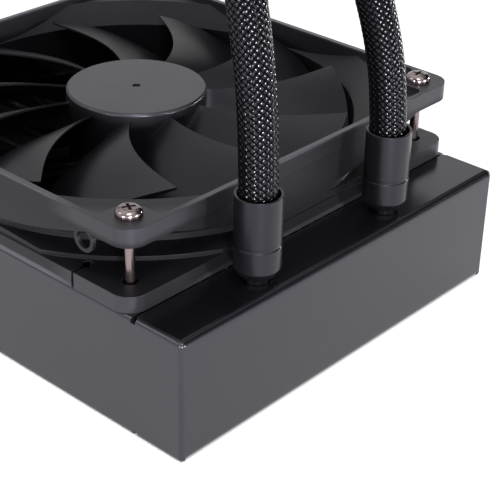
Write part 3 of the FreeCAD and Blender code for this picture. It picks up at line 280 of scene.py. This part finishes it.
# Moulded rubber: a flat black line between housing and cold plate
seal_rubber = grained("moulded_seal_rubber", "1b1b1b", 0.6, 0.3, 0.004)[0]
# Extruded black rubber under the braid, made nearly black and nearly without reflection as painted
# shade in the gaps between the bundles, so they look deep
hose_rubber_and_gap_shade = grained(
    "extruded_hose_rubber", "060606", 0.55, 0.5, 0.004, Specular_IOR_Level=0.1
)[0]
# Natural nylon: a milky white, satin, slightly warm
impeller_nylon = grained("natural_impeller_nylon", "cfcec8", 0.4, 0.4, 0.004)[0]
# Enamelled copper wire: a brownish orange gloss, broken up by the wires' fine relief
winding_wire = grained("enamelled_winding_wire", "9c5a30", 0.3, 0.25, 0.02, metallic=1.0)[0]
# Black nickel plate on the hose fittings: a dark mirror with sharp edges of light
fitting_black = grained("plated_hose_fitting", "4a484b", 0.16, 0.4, 0.001, metallic=1.0)[0]
# Bright nickel plate on the screws: a slightly pink mirror that catches every lamp
nickel = grained(
    "bright_nickel_plate", "7c7071", 0.18, 0.35, 0.001, metallic=1.0, cloud=0.05
)[0]

# Polished nylon filament: smooth and glossy, so its crowns glint. Each bundle shows three
# ridges, coarser than its real filaments, which are too fine to show
nylon, tree, shader = surface("braided_nylon_filament", "040405", 0.18, Specular_Tint=COOL)
RIDGES = 3
RIDGE_HEIGHT_MM = 0.0008
DIP_SHADE_GLOSS, CROWN_GLOSS = 0.02, 0.34
across = add(tree, "ShaderNodeAttribute", attribute_name="across").outputs["Fac"]
ridges = add(
    tree, "ShaderNodeMath", {0: across, 1: RIDGES * 2 * math.pi}, operation="MULTIPLY"
)
wave = add(tree, "ShaderNodeMath", {0: ridges.outputs[0]}, operation="COSINE")
bump = add(
    tree,
    "ShaderNodeBump",
    {"Strength": 1.0, "Distance": mm(RIDGE_HEIGHT_MM), "Height": wave.outputs[0]},
    invert=True,
)
tree.links.new(bump.outputs[0], shader.inputs["Normal"])
# Reflection full on each crown and weak where a bundle dips under the other way's: painted shade
# from the neighbouring bundles
crown = add(tree, "ShaderNodeAttribute", attribute_name="crown").outputs["Fac"]
crown_shine_dip_shade = add(
    tree,
    "ShaderNodeMapRange",
    {
        "Value": crown,
        "From Min": 0.65,
        "From Max": 0.95,
        "To Min": DIP_SHADE_GLOSS,
        "To Max": CROWN_GLOSS,
    },
    interpolation_type="SMOOTHSTEP",
)
tree.links.new(crown_shine_dip_shade.outputs[0], shader.inputs["Specular IOR Level"])


def dress(piece, material):
    """Gives a piece or a node its material."""
    piece.data.materials.clear()
    piece.data.materials.append(material)


# Meshes
SMOOTH_DEG = 32.0  # edges of turned and folded pieces that bend more than this stay sharp
SOFT_DEG = 30.0  # edges that bend more than this are rounded off
FLAT_DEG = 0.5  # facets that bend less than this are one face
WELD_MM = 0.001  # loose corners of a node's triangles this near are one
POLE_WELD_MM = 0.0001  # so are the corners of a ring on the axis
TURNED_STEPS = 48
ROUTE_STEPS = 24  # between two points of a hose's route


def smoothed(mesh, angle_deg=180.0):
    """Shades a mesh smooth, apart from edges that bend more than the angle."""
    for face in mesh.polygons:
        face.use_smooth = True
    if angle_deg < 180.0:
        mesh.set_sharp_from_angle(angle=math.radians(angle_deg))


def baked(host, name, material):
    """The host's evaluated mesh as a plain piece; the host goes."""
    bpy.context.view_layer.update()
    graph = bpy.context.evaluated_depsgraph_get()
    mesh = bpy.data.meshes.new_from_object(host.evaluated_get(graph))
    mesh.transform(host.matrix_world)
    bpy.data.objects.remove(host)
    piece = put(name, mesh)
    dress(piece, material)
    return piece


def softened(node, width_mm):
    """A copy of a node with its facets merged and its edges rounded off."""
    mesh = nodes[node].data.copy()
    work = bmesh.new()
    work.from_mesh(mesh)
    bmesh.ops.remove_doubles(work, verts=work.verts, dist=mm(WELD_MM))
    bmesh.ops.dissolve_limit(
        work, angle_limit=math.radians(FLAT_DEG), verts=work.verts, edges=work.edges
    )
    work.to_mesh(mesh)
    work.free()
    host = put(node + "_soft_host", mesh)
    smoothed(mesh, SOFT_DEG)
    soft = host.modifiers.new("soft_edges", "BEVEL")
    soft.limit_method = "ANGLE"
    soft.angle_limit = math.radians(SOFT_DEG)
    soft.width = mm(width_mm)
    soft.segments = 2
    soft.use_clamp_overlap = True
    flat = host.modifiers.new("flat_faces", "WEIGHTED_NORMAL")
    flat.keep_sharp = True
    flat.weight = 100  # the largest face decides, so flats stay flat up to the rounding
    piece = baked(host, node + "_soft", MATERIALS[node])
    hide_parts(node)
    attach(piece, nodes[node]["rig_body"])


def turned(name, section):
    """The mesh of a solid of revolution about Z, from radii and heights in millimetres."""
    work = bmesh.new()
    rings = []
    for radius, height in section:
        angles = (2 * math.pi * i / TURNED_STEPS for i in range(TURNED_STEPS))
        rings.append(
            [
                work.verts.new(spot(radius * math.cos(a), radius * math.sin(a), height))
                for a in angles
            ]
        )
    for low, high in zip(rings, rings[1:] + rings[:1]):
        for i in range(TURNED_STEPS):
            j = (i + 1) % TURNED_STEPS
            work.faces.new((low[i], low[j], high[j], high[i]))
    bmesh.ops.remove_doubles(work, verts=work.verts, dist=mm(POLE_WELD_MM))
    bmesh.ops.recalc_face_normals(work, faces=work.faces)
    mesh = bpy.data.meshes.new(name)
    work.to_mesh(mesh)
    work.free()
    return mesh


# Geometry node trees
def tree_with(name, sizes):
    """A geometry tree with named inputs and a finish: the tree, what it is given, its end."""
    tree = bpy.data.node_groups.new(name, "GeometryNodeTree")
    tree.interface.new_socket("Geometry", in_out="INPUT", socket_type="NodeSocketGeometry")
    for word, kind in sizes.items():
        tree.interface.new_socket(word, in_out="INPUT", socket_type="NodeSocket" + kind)
    tree.interface.new_socket("Finish", in_out="INPUT", socket_type="NodeSocketMaterial")
    tree.interface.new_socket("Geometry", in_out="OUTPUT", socket_type="NodeSocketGeometry")
    return tree, add(tree, "NodeGroupInput").outputs, add(tree, "NodeGroupOutput")


def finished_tree(tree, given, out, geometry):
    """Ends a tree: its instances are made real and take their finish."""
    whole = add(tree, "GeometryNodeRealizeInstances", {"Geometry": geometry})
    coloured = add(
        tree,
        "GeometryNodeSetMaterial",
        {"Geometry": whole.outputs[0], "Material": given["Finish"]},
    )
    tree.links.new(coloured.outputs[0], out.inputs["Geometry"])
    return tree


def sized(host, tree, sizes):
    """Puts the tree on the host, with its inputs set by their identifiers."""
    modifier = host.modifiers.new(tree.name, "NODES")
    modifier.node_group = tree
    for item in tree.interface.items_tree:
        if item.in_out == "INPUT" and item.name in sizes:
            modifier[item.identifier] = sizes[item.name]


# Hoses: the same routes as the solids', one smooth line each
HOSE_LEFT = [
    (79.6, -31.4, 42.3),
    (79.6, -31.4, 70.0),
    (76.9, -31.0, 98.7),
    (68.6, -29.6, 131.1),
    (45.8, -26.6, 162.3),
    (6.1, -22.6, 183.4),
    (-43.7, -19.1, 183.6),
    (-87.5, -17.2, 160.7),
    (-110.2, -17.2, 122.9),
    (-117.0, -17.2, 82.0),
    (-117.0, -17.2, 44.3),
]
HOSE_RIGHT = [
    (79.6, 25.0, 42.3),
    (79.6, 25.0, 70.0),
    (73.6, 25.2, 96.8),
    (59.6, 24.2, 126.1),
    (34.8, 22.4, 151.3),
    (-1.9, 18.9, 169.4),
    (-48.7, 14.9, 170.6),
    (-89.5, 11.9, 148.7),
    (-110.7, 10.8, 114.9),
    (-117.0, 10.8, 78.0),
    (-117.0, 10.8, 44.3),
]
TUBE_RADIUS = 4.85
BRAID = {
    "Bundles": 16,
    "Turn length": mm(31.0),
    "Radius": mm(5.2),
    "Crimp": mm(0.1),
    "Bundle width": mm(1.16),
    "Bundle height": mm(0.13),
    "Step": mm(0.42),
    "Finish": nylon,
}


def route_curve(name, corners, bevel_mm):
    """One smooth line along a hose's route, as thick as its bevel."""
    line = bpy.data.curves.new(name, "CURVE")
    line.dimensions = "3D"
    line.resolution_u = ROUTE_STEPS
    run = line.splines.new("NURBS")
    run.points.add(len(corners) - 1)
    for point, corner in zip(run.points, corners):
        point.co = (*spot(*corner), 1.0)
    run.order_u = 3
    run.use_endpoint_u = True
    line.bevel_depth = mm(bevel_mm)
    line.bevel_resolution = 6
    return put(name, line)


def braid_tree():
    """Flat bundles wound round a line in one direction, dipping under and over the other way's."""
    tree, given, out = tree_with(
        "wound_braid",
        {
            "Bundles": "Int",
            "Turn length": "Float",
            "Radius": "Float",
            "Crimp": "Float",
            "Bundle width": "Float",
            "Bundle height": "Float",
            "Step": "Float",
            "Way": "Float",
        },
    )
    along = add(
        tree,
        "GeometryNodeResampleCurve",
        {"Curve": given["Geometry"], "Length": given["Step"]},
        mode="LENGTH",
    )
    many = add(
        tree,
        "GeometryNodeDuplicateElements",
        {"Geometry": along.outputs[0], "Amount": given["Bundles"]},
        domain="SPLINE",
    )
    # How far round the line each point of each bundle stands
    length = add(tree, "GeometryNodeSplineParameter").outputs["Length"]
    turns = add(tree, "ShaderNodeMath", {0: length, 1: given["Turn length"]}, operation="DIVIDE")
    way = add(tree, "ShaderNodeMath", {0: turns.outputs[0], 1: given["Way"]}, operation="MULTIPLY")
    share = add(
        tree,
        "ShaderNodeMath",
        {0: many.outputs["Duplicate Index"], 1: given["Bundles"]},
        operation="DIVIDE",
    )
    place = add(tree, "ShaderNodeMath", {0: way.outputs[0], 1: share.outputs[0]}, operation="ADD")
    angle = add(
        tree, "ShaderNodeMath", {0: place.outputs[0], 1: 2 * math.pi}, operation="MULTIPLY"
    ).outputs[0]
    # The bundle rises and falls once for each pair of bundles that it meets
    beats = add(
        tree, "ShaderNodeMath", {0: turns.outputs[0], 1: given["Bundles"]}, operation="MULTIPLY"
    )
    beat = add(
        tree, "ShaderNodeMath", {0: beats.outputs[0], 1: 2 * math.pi}, operation="MULTIPLY"
    )
    rise = add(tree, "ShaderNodeMath", {0: beat.outputs[0]}, operation="COSINE").outputs[0]
    lift = add(tree, "ShaderNodeMath", {0: rise, 1: given["Crimp"]}, operation="MULTIPLY")
    signed = add(
        tree, "ShaderNodeMath", {0: lift.outputs[0], 1: given["Way"]}, operation="MULTIPLY"
    )
    reach = add(
        tree, "ShaderNodeMath", {0: signed.outputs[0], 1: given["Radius"]}, operation="ADD"
    )
    # Its direction outwards there, from the line's own normal and the direction across it
    tangent = add(tree, "GeometryNodeInputTangent").outputs[0]
    normal = add(tree, "GeometryNodeInputNormal").outputs[0]
    sideways = add(
        tree, "ShaderNodeVectorMath", {0: tangent, 1: normal}, operation="CROSS_PRODUCT"
    ).outputs[0]
    cosine = add(tree, "ShaderNodeMath", {0: angle}, operation="COSINE").outputs[0]
    sine = add(tree, "ShaderNodeMath", {0: angle}, operation="SINE").outputs[0]
    one = add(tree, "ShaderNodeVectorMath", {0: normal, "Scale": cosine}, operation="SCALE")
    two = add(tree, "ShaderNodeVectorMath", {0: sideways, "Scale": sine}, operation="SCALE")
    outward = add(
        tree, "ShaderNodeVectorMath", {0: one.outputs[0], 1: two.outputs[0]}, operation="ADD"
    )
    # 1 on top of the braid and 0 where the bundle is deepest, for the material
    facing = add(tree, "ShaderNodeMath", {0: rise, 1: given["Way"]}, operation="MULTIPLY")
    crown = add(
        tree, "ShaderNodeMath", {0: facing.outputs[0], 1: 0.5, 2: 0.5}, operation="MULTIPLY_ADD"
    )
    kept = add(tree, "GeometryNodeCaptureAttribute", {"Geometry": many.outputs[0]}, domain="POINT")
    for word, kind, made in (
        ("Outward", "VECTOR", outward),
        ("Reach", "FLOAT", reach),
        ("Crown", "FLOAT", crown),
    ):
        kept.capture_items.new(kind, word)
        tree.links.new(made.outputs[0], kept.inputs[word])
    offset = add(
        tree,
        "ShaderNodeVectorMath",
        {0: kept.outputs["Outward"], "Scale": kept.outputs["Reach"]},
        operation="SCALE",
    )
    wound = add(
        tree,
        "GeometryNodeSetPosition",
        {"Geometry": kept.outputs["Geometry"], "Offset": offset.outputs[0]},
    )
    faced = add(
        tree,
        "GeometryNodeSetCurveNormal",
        {"Curve": wound.outputs[0], "Normal": kept.outputs["Outward"]},
        mode="FREE",
    )
    crowned = add(
        tree,
        "GeometryNodeStoreNamedAttribute",
        {"Geometry": faced.outputs[0], "Name": "crown", "Value": kept.outputs["Crown"]},
        data_type="FLOAT",
        domain="POINT",
    )
    # A bundle's section: the upper half of a flat oval
    bow = add(
        tree,
        "GeometryNodeCurveArc",
        {"Resolution": 5, "Radius": 1.0, "Start Angle": -math.pi / 2, "Sweep Angle": math.pi},
    )
    half = add(tree, "ShaderNodeMath", {0: given["Bundle width"], 1: 0.5}, operation="MULTIPLY")
    oval = add(
        tree, "ShaderNodeCombineXYZ", {"X": given["Bundle height"], "Y": half.outputs[0], "Z": 1.0}
    )
    flat = add(
        tree, "GeometryNodeTransform", {"Geometry": bow.outputs[0], "Scale": oval.outputs[0]}
    )
    marked = add(
        tree,
        "GeometryNodeStoreNamedAttribute",
        {
            "Geometry": flat.outputs[0],
            "Name": "across",
            "Value": add(tree, "GeometryNodeSplineParameter").outputs["Factor"],
        },
        data_type="FLOAT",
        domain="POINT",
    )
    skin = add(
        tree,
        "GeometryNodeCurveToMesh",
        {"Curve": crowned.outputs[0], "Profile Curve": marked.outputs[0]},
    )
    return finished_tree(tree, given, out, skin.outputs[0])


braid = braid_tree()
for side, corners, length in (("left", HOSE_LEFT, 392.3), ("right", HOSE_RIGHT, 365.0)):
    for word, way in (("rising", 1.0), ("falling", -1.0)):
        host = route_curve(f"hose_{side}_{word}_host", corners, 0)
        sized(host, braid, {**BRAID, "Way": way})
        sleeve = baked(host, f"hose_{side}_braid_{word}", nylon)
        smoothed(sleeve.data)
        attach(sleeve, "root")
    tube = route_curve(f"hose_{side}_tube", corners, TUBE_RADIUS)
    tube.data.use_fill_caps = True
    dress(tube, hose_rubber_and_gap_shade)
    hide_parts(f"hose_{side}")
    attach(tube, "root")

# Carried-over nodes
MATERIALS = {
    "tank_divider": powder_coat,
    "core_tubes": core_black,
    "core_fins": core_black,
    "front_header": core_black,
    "rear_header": core_black,
    "fan_frame": frame_plastic,
    "fan_rotor": rotor_plastic,
    "fan_screws": nickel,
    "radiator_fitting_left": fitting_black,
    "radiator_fitting_right": fitting_black,
    "pump_fitting_left": fitting_black,
    "pump_fitting_right": fitting_black,
    "radiator_collar_left": collar_black,
    "radiator_collar_right": collar_black,
    "pump_collar_left": collar_black,
    "pump_collar_right": collar_black,
    "bearing_sleeve": bronze,
    "fan_board": board_green,
    "fan_stator_core": bore_steel,
    "fan_stator_windings": winding_wire,
    "rotor_yoke": bore_steel,
    "rotor_magnet": ferrite,
    "rotor_shaft": bore_steel,
    "shaft_clip": bore_steel,
    "cold_plate": copper,
    "plate_screws": nickel,
    "mount_bracket": bracket_paint,
    "pump_housing": pump_plastic,
    "plate_seal": seal_rubber,
    "pump_cap": cap_plastic,
    "pump_impeller": impeller_nylon,
    "impeller_magnet": ferrite,
    "impeller_pin": bore_steel,
    "pump_stator_core": bore_steel,
    "pump_stator_windings": winding_wire,
    "pump_board": board_green,
    "front_tank": powder_coat,
    "rear_tank": powder_coat,
    "side_plate_left": plate_coat_painted_lit,
    "side_plate_right": plate_coat_painted_lit,
}
for word, material in MATERIALS.items():
    dress(nodes[word], material)

# Rounded copies of the hard pieces: moulded, folded and turned edges all catch a line of light.
# Each has its record's slot and the width of its rounding in millimetres
SOFT_EDGES = {
    "front_tank": ("radiator_paint", 0.3),
    "rear_tank": ("radiator_paint", 0.3),
    "side_plate_left": ("radiator_paint", 0.25),
    "side_plate_right": ("radiator_paint", 0.25),
    "fan_frame": ("fan_frame_plastic", 0.4),
    "fan_rotor": ("fan_blade_plastic", 0.2),
    "radiator_collar_left": ("collar_plastic", 0.3),
    "radiator_collar_right": ("collar_plastic", 0.3),
    "pump_collar_left": ("collar_plastic", 0.3),
    "pump_collar_right": ("collar_plastic", 0.3),
    "radiator_fitting_left": ("fitting_metal", 0.25),
    "radiator_fitting_right": ("fitting_metal", 0.25),
    "pump_fitting_left": ("fitting_metal", 0.25),
    "pump_fitting_right": ("fitting_metal", 0.25),
    "cold_plate": ("copper", 0.15),
    "mount_bracket": ("bracket_steel", 0.25),
    "pump_housing": ("pump_plastic", 0.3),
    "pump_cap": ("pump_plastic", 0.25),
}
for word, (slot, width) in SOFT_EDGES.items():
    softened(word, width)

# Fan's screws
SCREW_SECTION = [
    (0.0, 34.0),
    (1.05, 34.0),
    (1.45, 34.5),
    (1.45, 63.0),
    (3.65, 63.0),
    (3.75, 63.1),
    (3.75, 63.9),
    (3.58, 64.4),
    (3.2, 64.85),
    (2.6, 65.15),
    (1.9, 65.28),
    (1.3, 65.3),
    (0.0, 65.3),
]
SCREWS = {
    "Pitch": mm(124.5),
    "Slot length": mm(3.7),
    "Slot width": mm(0.85),
    "Slot depth": mm(1.2),
    "Head top": mm(65.3),
    "Seed": 4,
    "Finish": nickel,
}


def screws_tree():
    """A screw at each corner of a square, its head cut with a cross, each turned its own way."""
    tree, given, out = tree_with(
        "corner_screws",
        {
            "Pitch": "Float",
            "Slot length": "Float",
            "Slot width": "Float",
            "Slot depth": "Float",
            "Head top": "Float",
            "Seed": "Int",
        },
    )
    tall = add(tree, "ShaderNodeMath", {0: given["Slot depth"], 1: 2.0}, operation="MULTIPLY")
    lift = add(tree, "ShaderNodeCombineXYZ", {"Z": given["Head top"]})
    cross = add(tree, "GeometryNodeMeshBoolean", operation="DIFFERENCE")
    tree.links.new(given["Geometry"], cross.inputs["Mesh 1"])
    for along, across in (("Slot length", "Slot width"), ("Slot width", "Slot length")):
        size = add(
            tree,
            "ShaderNodeCombineXYZ",
            {"X": given[along], "Y": given[across], "Z": tall.outputs[0]},
        )
        block = add(tree, "GeometryNodeMeshCube", {"Size": size.outputs[0]})
        bar = add(
            tree,
            "GeometryNodeTransform",
            {"Geometry": block.outputs["Mesh"], "Translation": lift.outputs[0]},
        )
        tree.links.new(bar.outputs[0], cross.inputs["Mesh 2"])
    corners = add(
        tree,
        "GeometryNodeMeshGrid",
        {"Size X": given["Pitch"], "Size Y": given["Pitch"], "Vertices X": 2, "Vertices Y": 2},
    )
    spin = add(
        tree,
        "FunctionNodeRandomValue",
        {"Min": (0.0, 0.0, 0.0), "Max": (0.0, 0.0, math.pi / 2), "Seed": given["Seed"]},
        data_type="FLOAT_VECTOR",
    )
    placed = add(
        tree,
        "GeometryNodeInstanceOnPoints",
        {
            "Points": corners.outputs["Mesh"],
            "Instance": cross.outputs["Mesh"],
            "Rotation": spin.outputs[0],
        },
    )
    return finished_tree(tree, given, out, placed.outputs[0])


host = put("fan_screws_host", turned("fan_screw_blank", SCREW_SECTION))
sized(host, screws_tree(), SCREWS)
screws = baked(host, "fan_screws_cross_head", nickel)
smoothed(screws.data, SMOOTH_DEG)
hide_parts("fan_screws")
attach(screws, "root")

# Core's fins
CORE_MIDDLE = (0, 0, 19)
FINS = {
    "Length": mm(140.6),
    "Folds": 189,
    "Height": mm(8.6),
    "Bend": mm(0.3),
    "Sheet": mm(0.12),
    "Depth": mm(27.0),
    "Strips": 13,
    "Pitch": mm(10.615),
    "Finish": core_black,
}


def fins_tree():
    """Folded strips of sheet between the tubes, each a zigzag with rounded bends."""
    tree, given, out = tree_with(
        "corrugated_fins",
        {
            "Length": "Float",
            "Folds": "Int",
            "Height": "Float",
            "Bend": "Float",
            "Sheet": "Float",
            "Depth": "Float",
            "Strips": "Int",
            "Pitch": "Float",
        },
    )
    half = add(tree, "ShaderNodeMath", {0: given["Length"], 1: 0.5}, operation="MULTIPLY")
    back = add(tree, "ShaderNodeMath", {0: half.outputs[0], 1: -1.0}, operation="MULTIPLY")
    start = add(tree, "ShaderNodeCombineXYZ", {"X": back.outputs[0]})
    end = add(tree, "ShaderNodeCombineXYZ", {"X": half.outputs[0]})
    line = add(
        tree, "GeometryNodeCurvePrimitiveLine", {"Start": start.outputs[0], "End": end.outputs[0]}
    )
    points = add(
        tree,
        "GeometryNodeResampleCurve",
        {"Curve": line.outputs[0], "Count": given["Folds"]},
        mode="COUNT",
    )
    # Every second point goes to the strip's other side, half a sheet short of it
    index = add(tree, "GeometryNodeInputIndex").outputs[0]
    turn = add(tree, "ShaderNodeMath", {0: index, 1: 2.0}, operation="MODULO")
    side = add(tree, "ShaderNodeMath", {0: turn.outputs[0], 1: 0.5}, operation="SUBTRACT")
    room = add(
        tree, "ShaderNodeMath", {0: given["Height"], 1: given["Sheet"]}, operation="SUBTRACT"
    )
    shift = add(
        tree, "ShaderNodeMath", {0: side.outputs[0], 1: room.outputs[0]}, operation="MULTIPLY"
    )
    offset = add(tree, "ShaderNodeCombineXYZ", {"Y": shift.outputs[0]})
    folded = add(
        tree,
        "GeometryNodeSetPosition",
        {"Geometry": points.outputs[0], "Offset": offset.outputs[0]},
    )
    bent = add(
        tree,
        "GeometryNodeFilletCurve",
        {"Curve": folded.outputs[0], "Radius": given["Bend"], "Count": 2},
        mode="POLY",
    )
    upright = add(tree, "GeometryNodeSetCurveNormal", {"Curve": bent.outputs[0]}, mode="Z_UP")
    section = add(
        tree,
        "GeometryNodeCurvePrimitiveQuadrilateral",
        {"Width": given["Sheet"], "Height": given["Depth"]},
    )
    strip = add(
        tree,
        "GeometryNodeCurveToMesh",
        {"Curve": upright.outputs[0], "Profile Curve": section.outputs[0], "Fill Caps": True},
    )
    # The row of strips stands evenly on both sides of the middle
    gaps = add(tree, "ShaderNodeMath", {0: given["Strips"], 1: 1.0}, operation="SUBTRACT")
    span = add(
        tree, "ShaderNodeMath", {0: gaps.outputs[0], 1: given["Pitch"]}, operation="MULTIPLY"
    )
    first = add(tree, "ShaderNodeMath", {0: span.outputs[0], 1: -0.5}, operation="MULTIPLY")
    first_at = add(tree, "ShaderNodeCombineXYZ", {"Y": first.outputs[0]})
    step = add(tree, "ShaderNodeCombineXYZ", {"Y": given["Pitch"]})
    row = add(
        tree,
        "GeometryNodeMeshLine",
        {
            "Count": given["Strips"],
            "Start Location": first_at.outputs[0],
            "Offset": step.outputs[0],
        },
    )
    placed = add(
        tree,
        "GeometryNodeInstanceOnPoints",
        {"Points": row.outputs[0], "Instance": strip.outputs[0]},
    )
    return finished_tree(tree, given, out, placed.outputs[0])


host = put("core_fins_host", bpy.data.meshes.new("core_fins_host"))
host.location = spot(*CORE_MIDDLE)
sized(host, fins_tree(), FINS)
fins = baked(host, "core_fins_corrugated", core_black)
smoothed(fins.data, SMOOTH_DEG)
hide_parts("core_fins")
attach(fins, "root")


# Stage: a pale floor, an even white surround, soft lamps and a black flag, in metres
FLOOR_HALF = 3.0
NEAR, FAR = 0.4, 1.3  # from the fan's axis
NEAR_GLOW, FAR_GLOW = 0.1, 0.8
LAMPS_AWAY = 1.2
LOW_DEG = 6.0  # lamps this low draw the braid's glints
AIM = (0.02, 0.0, 0.05)
FLAG_HALF = (0.95, 0.87)
FLAG_AT = around(163.0, 31.0, 1.5)


def rectangle(name, wide, tall):
    """A flat piece of the stage, from its half sizes."""
    mesh = bpy.data.meshes.new(name)
    corners = [(-wide, -tall, 0), (wide, -tall, 0), (wide, tall, 0), (-wide, tall, 0)]
    mesh.from_pydata(corners, [], [(0, 1, 2, 3)])
    return put(name, mesh)


def shows_white(tree):
    """1 for rays from the camera and for those that shiny or clear skins send on, else 0."""
    path = add(tree, "ShaderNodeLightPath").outputs
    seen = path["Is Camera Ray"]
    for word in ("Is Glossy Ray", "Is Transmission Ray"):
        seen = add(
            tree, "ShaderNodeMath", {0: seen, 1: path[word]}, operation="ADD", use_clamp=True
        ).outputs[0]
    return seen


floor = rectangle("floor", FLOOR_HALF, FLOOR_HALF)
# A matt white table that glows to the camera and in the skins, and keeps its shadow. Far from
# the lamps it glows more, so that it stays white to its edge
white, tree, shader = surface("white_table", "e6e6e6", 0.7)
place = add(tree, "ShaderNodeTexCoord").outputs["Object"]
farness = add(
    tree,
    "ShaderNodeMapRange",
    {
        "Value": from_axis(tree, place),
        "From Min": NEAR,
        "From Max": FAR,
        "To Min": NEAR_GLOW,
        "To Max": FAR_GLOW,
    },
    interpolation_type="SMOOTHSTEP",
)
glow = add(
    tree, "ShaderNodeMath", {0: shows_white(tree), 1: farness.outputs[0]}, operation="MULTIPLY"
)
shader.inputs["Emission Color"].default_value = paint("ffffff")
tree.links.new(glow.outputs[0], shader.inputs["Emission Strength"])
dress(floor, white)

# The surround lights the object dimly and slightly blue, and shows as white
world = bpy.data.worlds.new("white_surround")
bpy.context.scene.world = world
world.use_nodes = True
tree = world.node_tree
tree.nodes.clear()
lit = add(tree, "ShaderNodeBackground", {"Color": (0.95, 0.97, 1.0, 1.0), "Strength": 0.55})
pale = add(tree, "ShaderNodeBackground", {"Color": paint("ffffff"), "Strength": 1.0})
mixed = add(
    tree, "ShaderNodeMixShader", {0: shows_white(tree), 1: lit.outputs[0], 2: pale.outputs[0]}
)
add(tree, "ShaderNodeOutputWorld", {"Surface": mixed.outputs[0]})

# Lamps: where each stands, its side in metres and its watts
for word, at, side, watts in (
    ("overhead_softbox", (-0.1, 0.2, 1.1), 1.6, 4.0),
    ("high_softbox", around(51.0, 60.0, LAMPS_AWAY), 0.4, 9.0),
    ("front_strip", around(55.6, LOW_DEG, LAMPS_AWAY), 0.12, 20.0),
    ("left_strip", around(7.6, LOW_DEG, LAMPS_AWAY), 0.12, 11.0),
    ("right_strip", around(105.6, LOW_DEG, LAMPS_AWAY), 0.12, 12.0),
    ("back_strip", around(160.0, LOW_DEG, LAMPS_AWAY), 0.12, 7.0),
    ("side_softbox", around(-40.0, 40.0, LAMPS_AWAY), 0.3, 2.0),
):
    lamp = bpy.data.lights.new(word, "AREA")
    lamp.shape = "RECTANGLE"
    lamp.size = lamp.size_y = side
    lamp.energy = watts
    made = put(word, lamp)
    made.location = at
    made.rotation_mode = "QUATERNION"
    made.rotation_quaternion = (Vector(AIM) - Vector(at)).to_track_quat("-Z", "Y")
    made.visible_camera = False

# The flag stands behind the object's right and shows only in its skins: it darkens the
# rounding on the tank's top edge
flag = rectangle("flag", *FLAG_HALF)
flag.location = FLAG_AT
flag.rotation_mode = "QUATERNION"
flag.rotation_quaternion = (Vector(AIM) - flag.location).to_track_quat("Z", "Y")
# Black felt: no sheen at all
dress(flag, surface("black_felt", "040404", 0.9, Specular_IOR_Level=0.0)[0])
for ray in ("camera", "diffuse", "transmission", "volume_scatter", "shadow"):
    setattr(flag, "visible_" + ray, False)

# Camera, where the photograph was taken from: fitted to its edges, in degrees, millimetres
# and pixels of its 500 across
AZIMUTH, ELEVATION, ROLL = 41.620, 29.772, 1.447
CAMERA_AT = (303.71, -286.67, 241.01)
FOCAL_PIXELS = 1448.15
PIXELS_ACROSS = 500
SENSOR_MM = 36.0
roll = math.radians(ROLL)
back = Vector(around(AZIMUTH, ELEVATION, 1.0))
right = (-back).cross(Vector((0, 0, 1))).normalized()
up = right.cross(-back)
turned_right = right * math.cos(roll) + up * math.sin(roll)
turned_up = up * math.cos(roll) - right * math.sin(roll)
lens = bpy.data.cameras.new("camera")
lens.sensor_width = SENSOR_MM
lens.lens = FOCAL_PIXELS / PIXELS_ACROSS * SENSOR_MM
lens.clip_start = 0.01
lens.clip_end = 50.0
camera = put("camera", lens)
at = spot(*CAMERA_AT)
camera.matrix_world = Matrix(
    [[turned_right[i], turned_up[i], back[i], at[i]] for i in range(3)] + [[0, 0, 0, 1]]
)
bpy.context.scene.camera = camera
bpy.context.scene.view_settings.view_transform = "Standard"
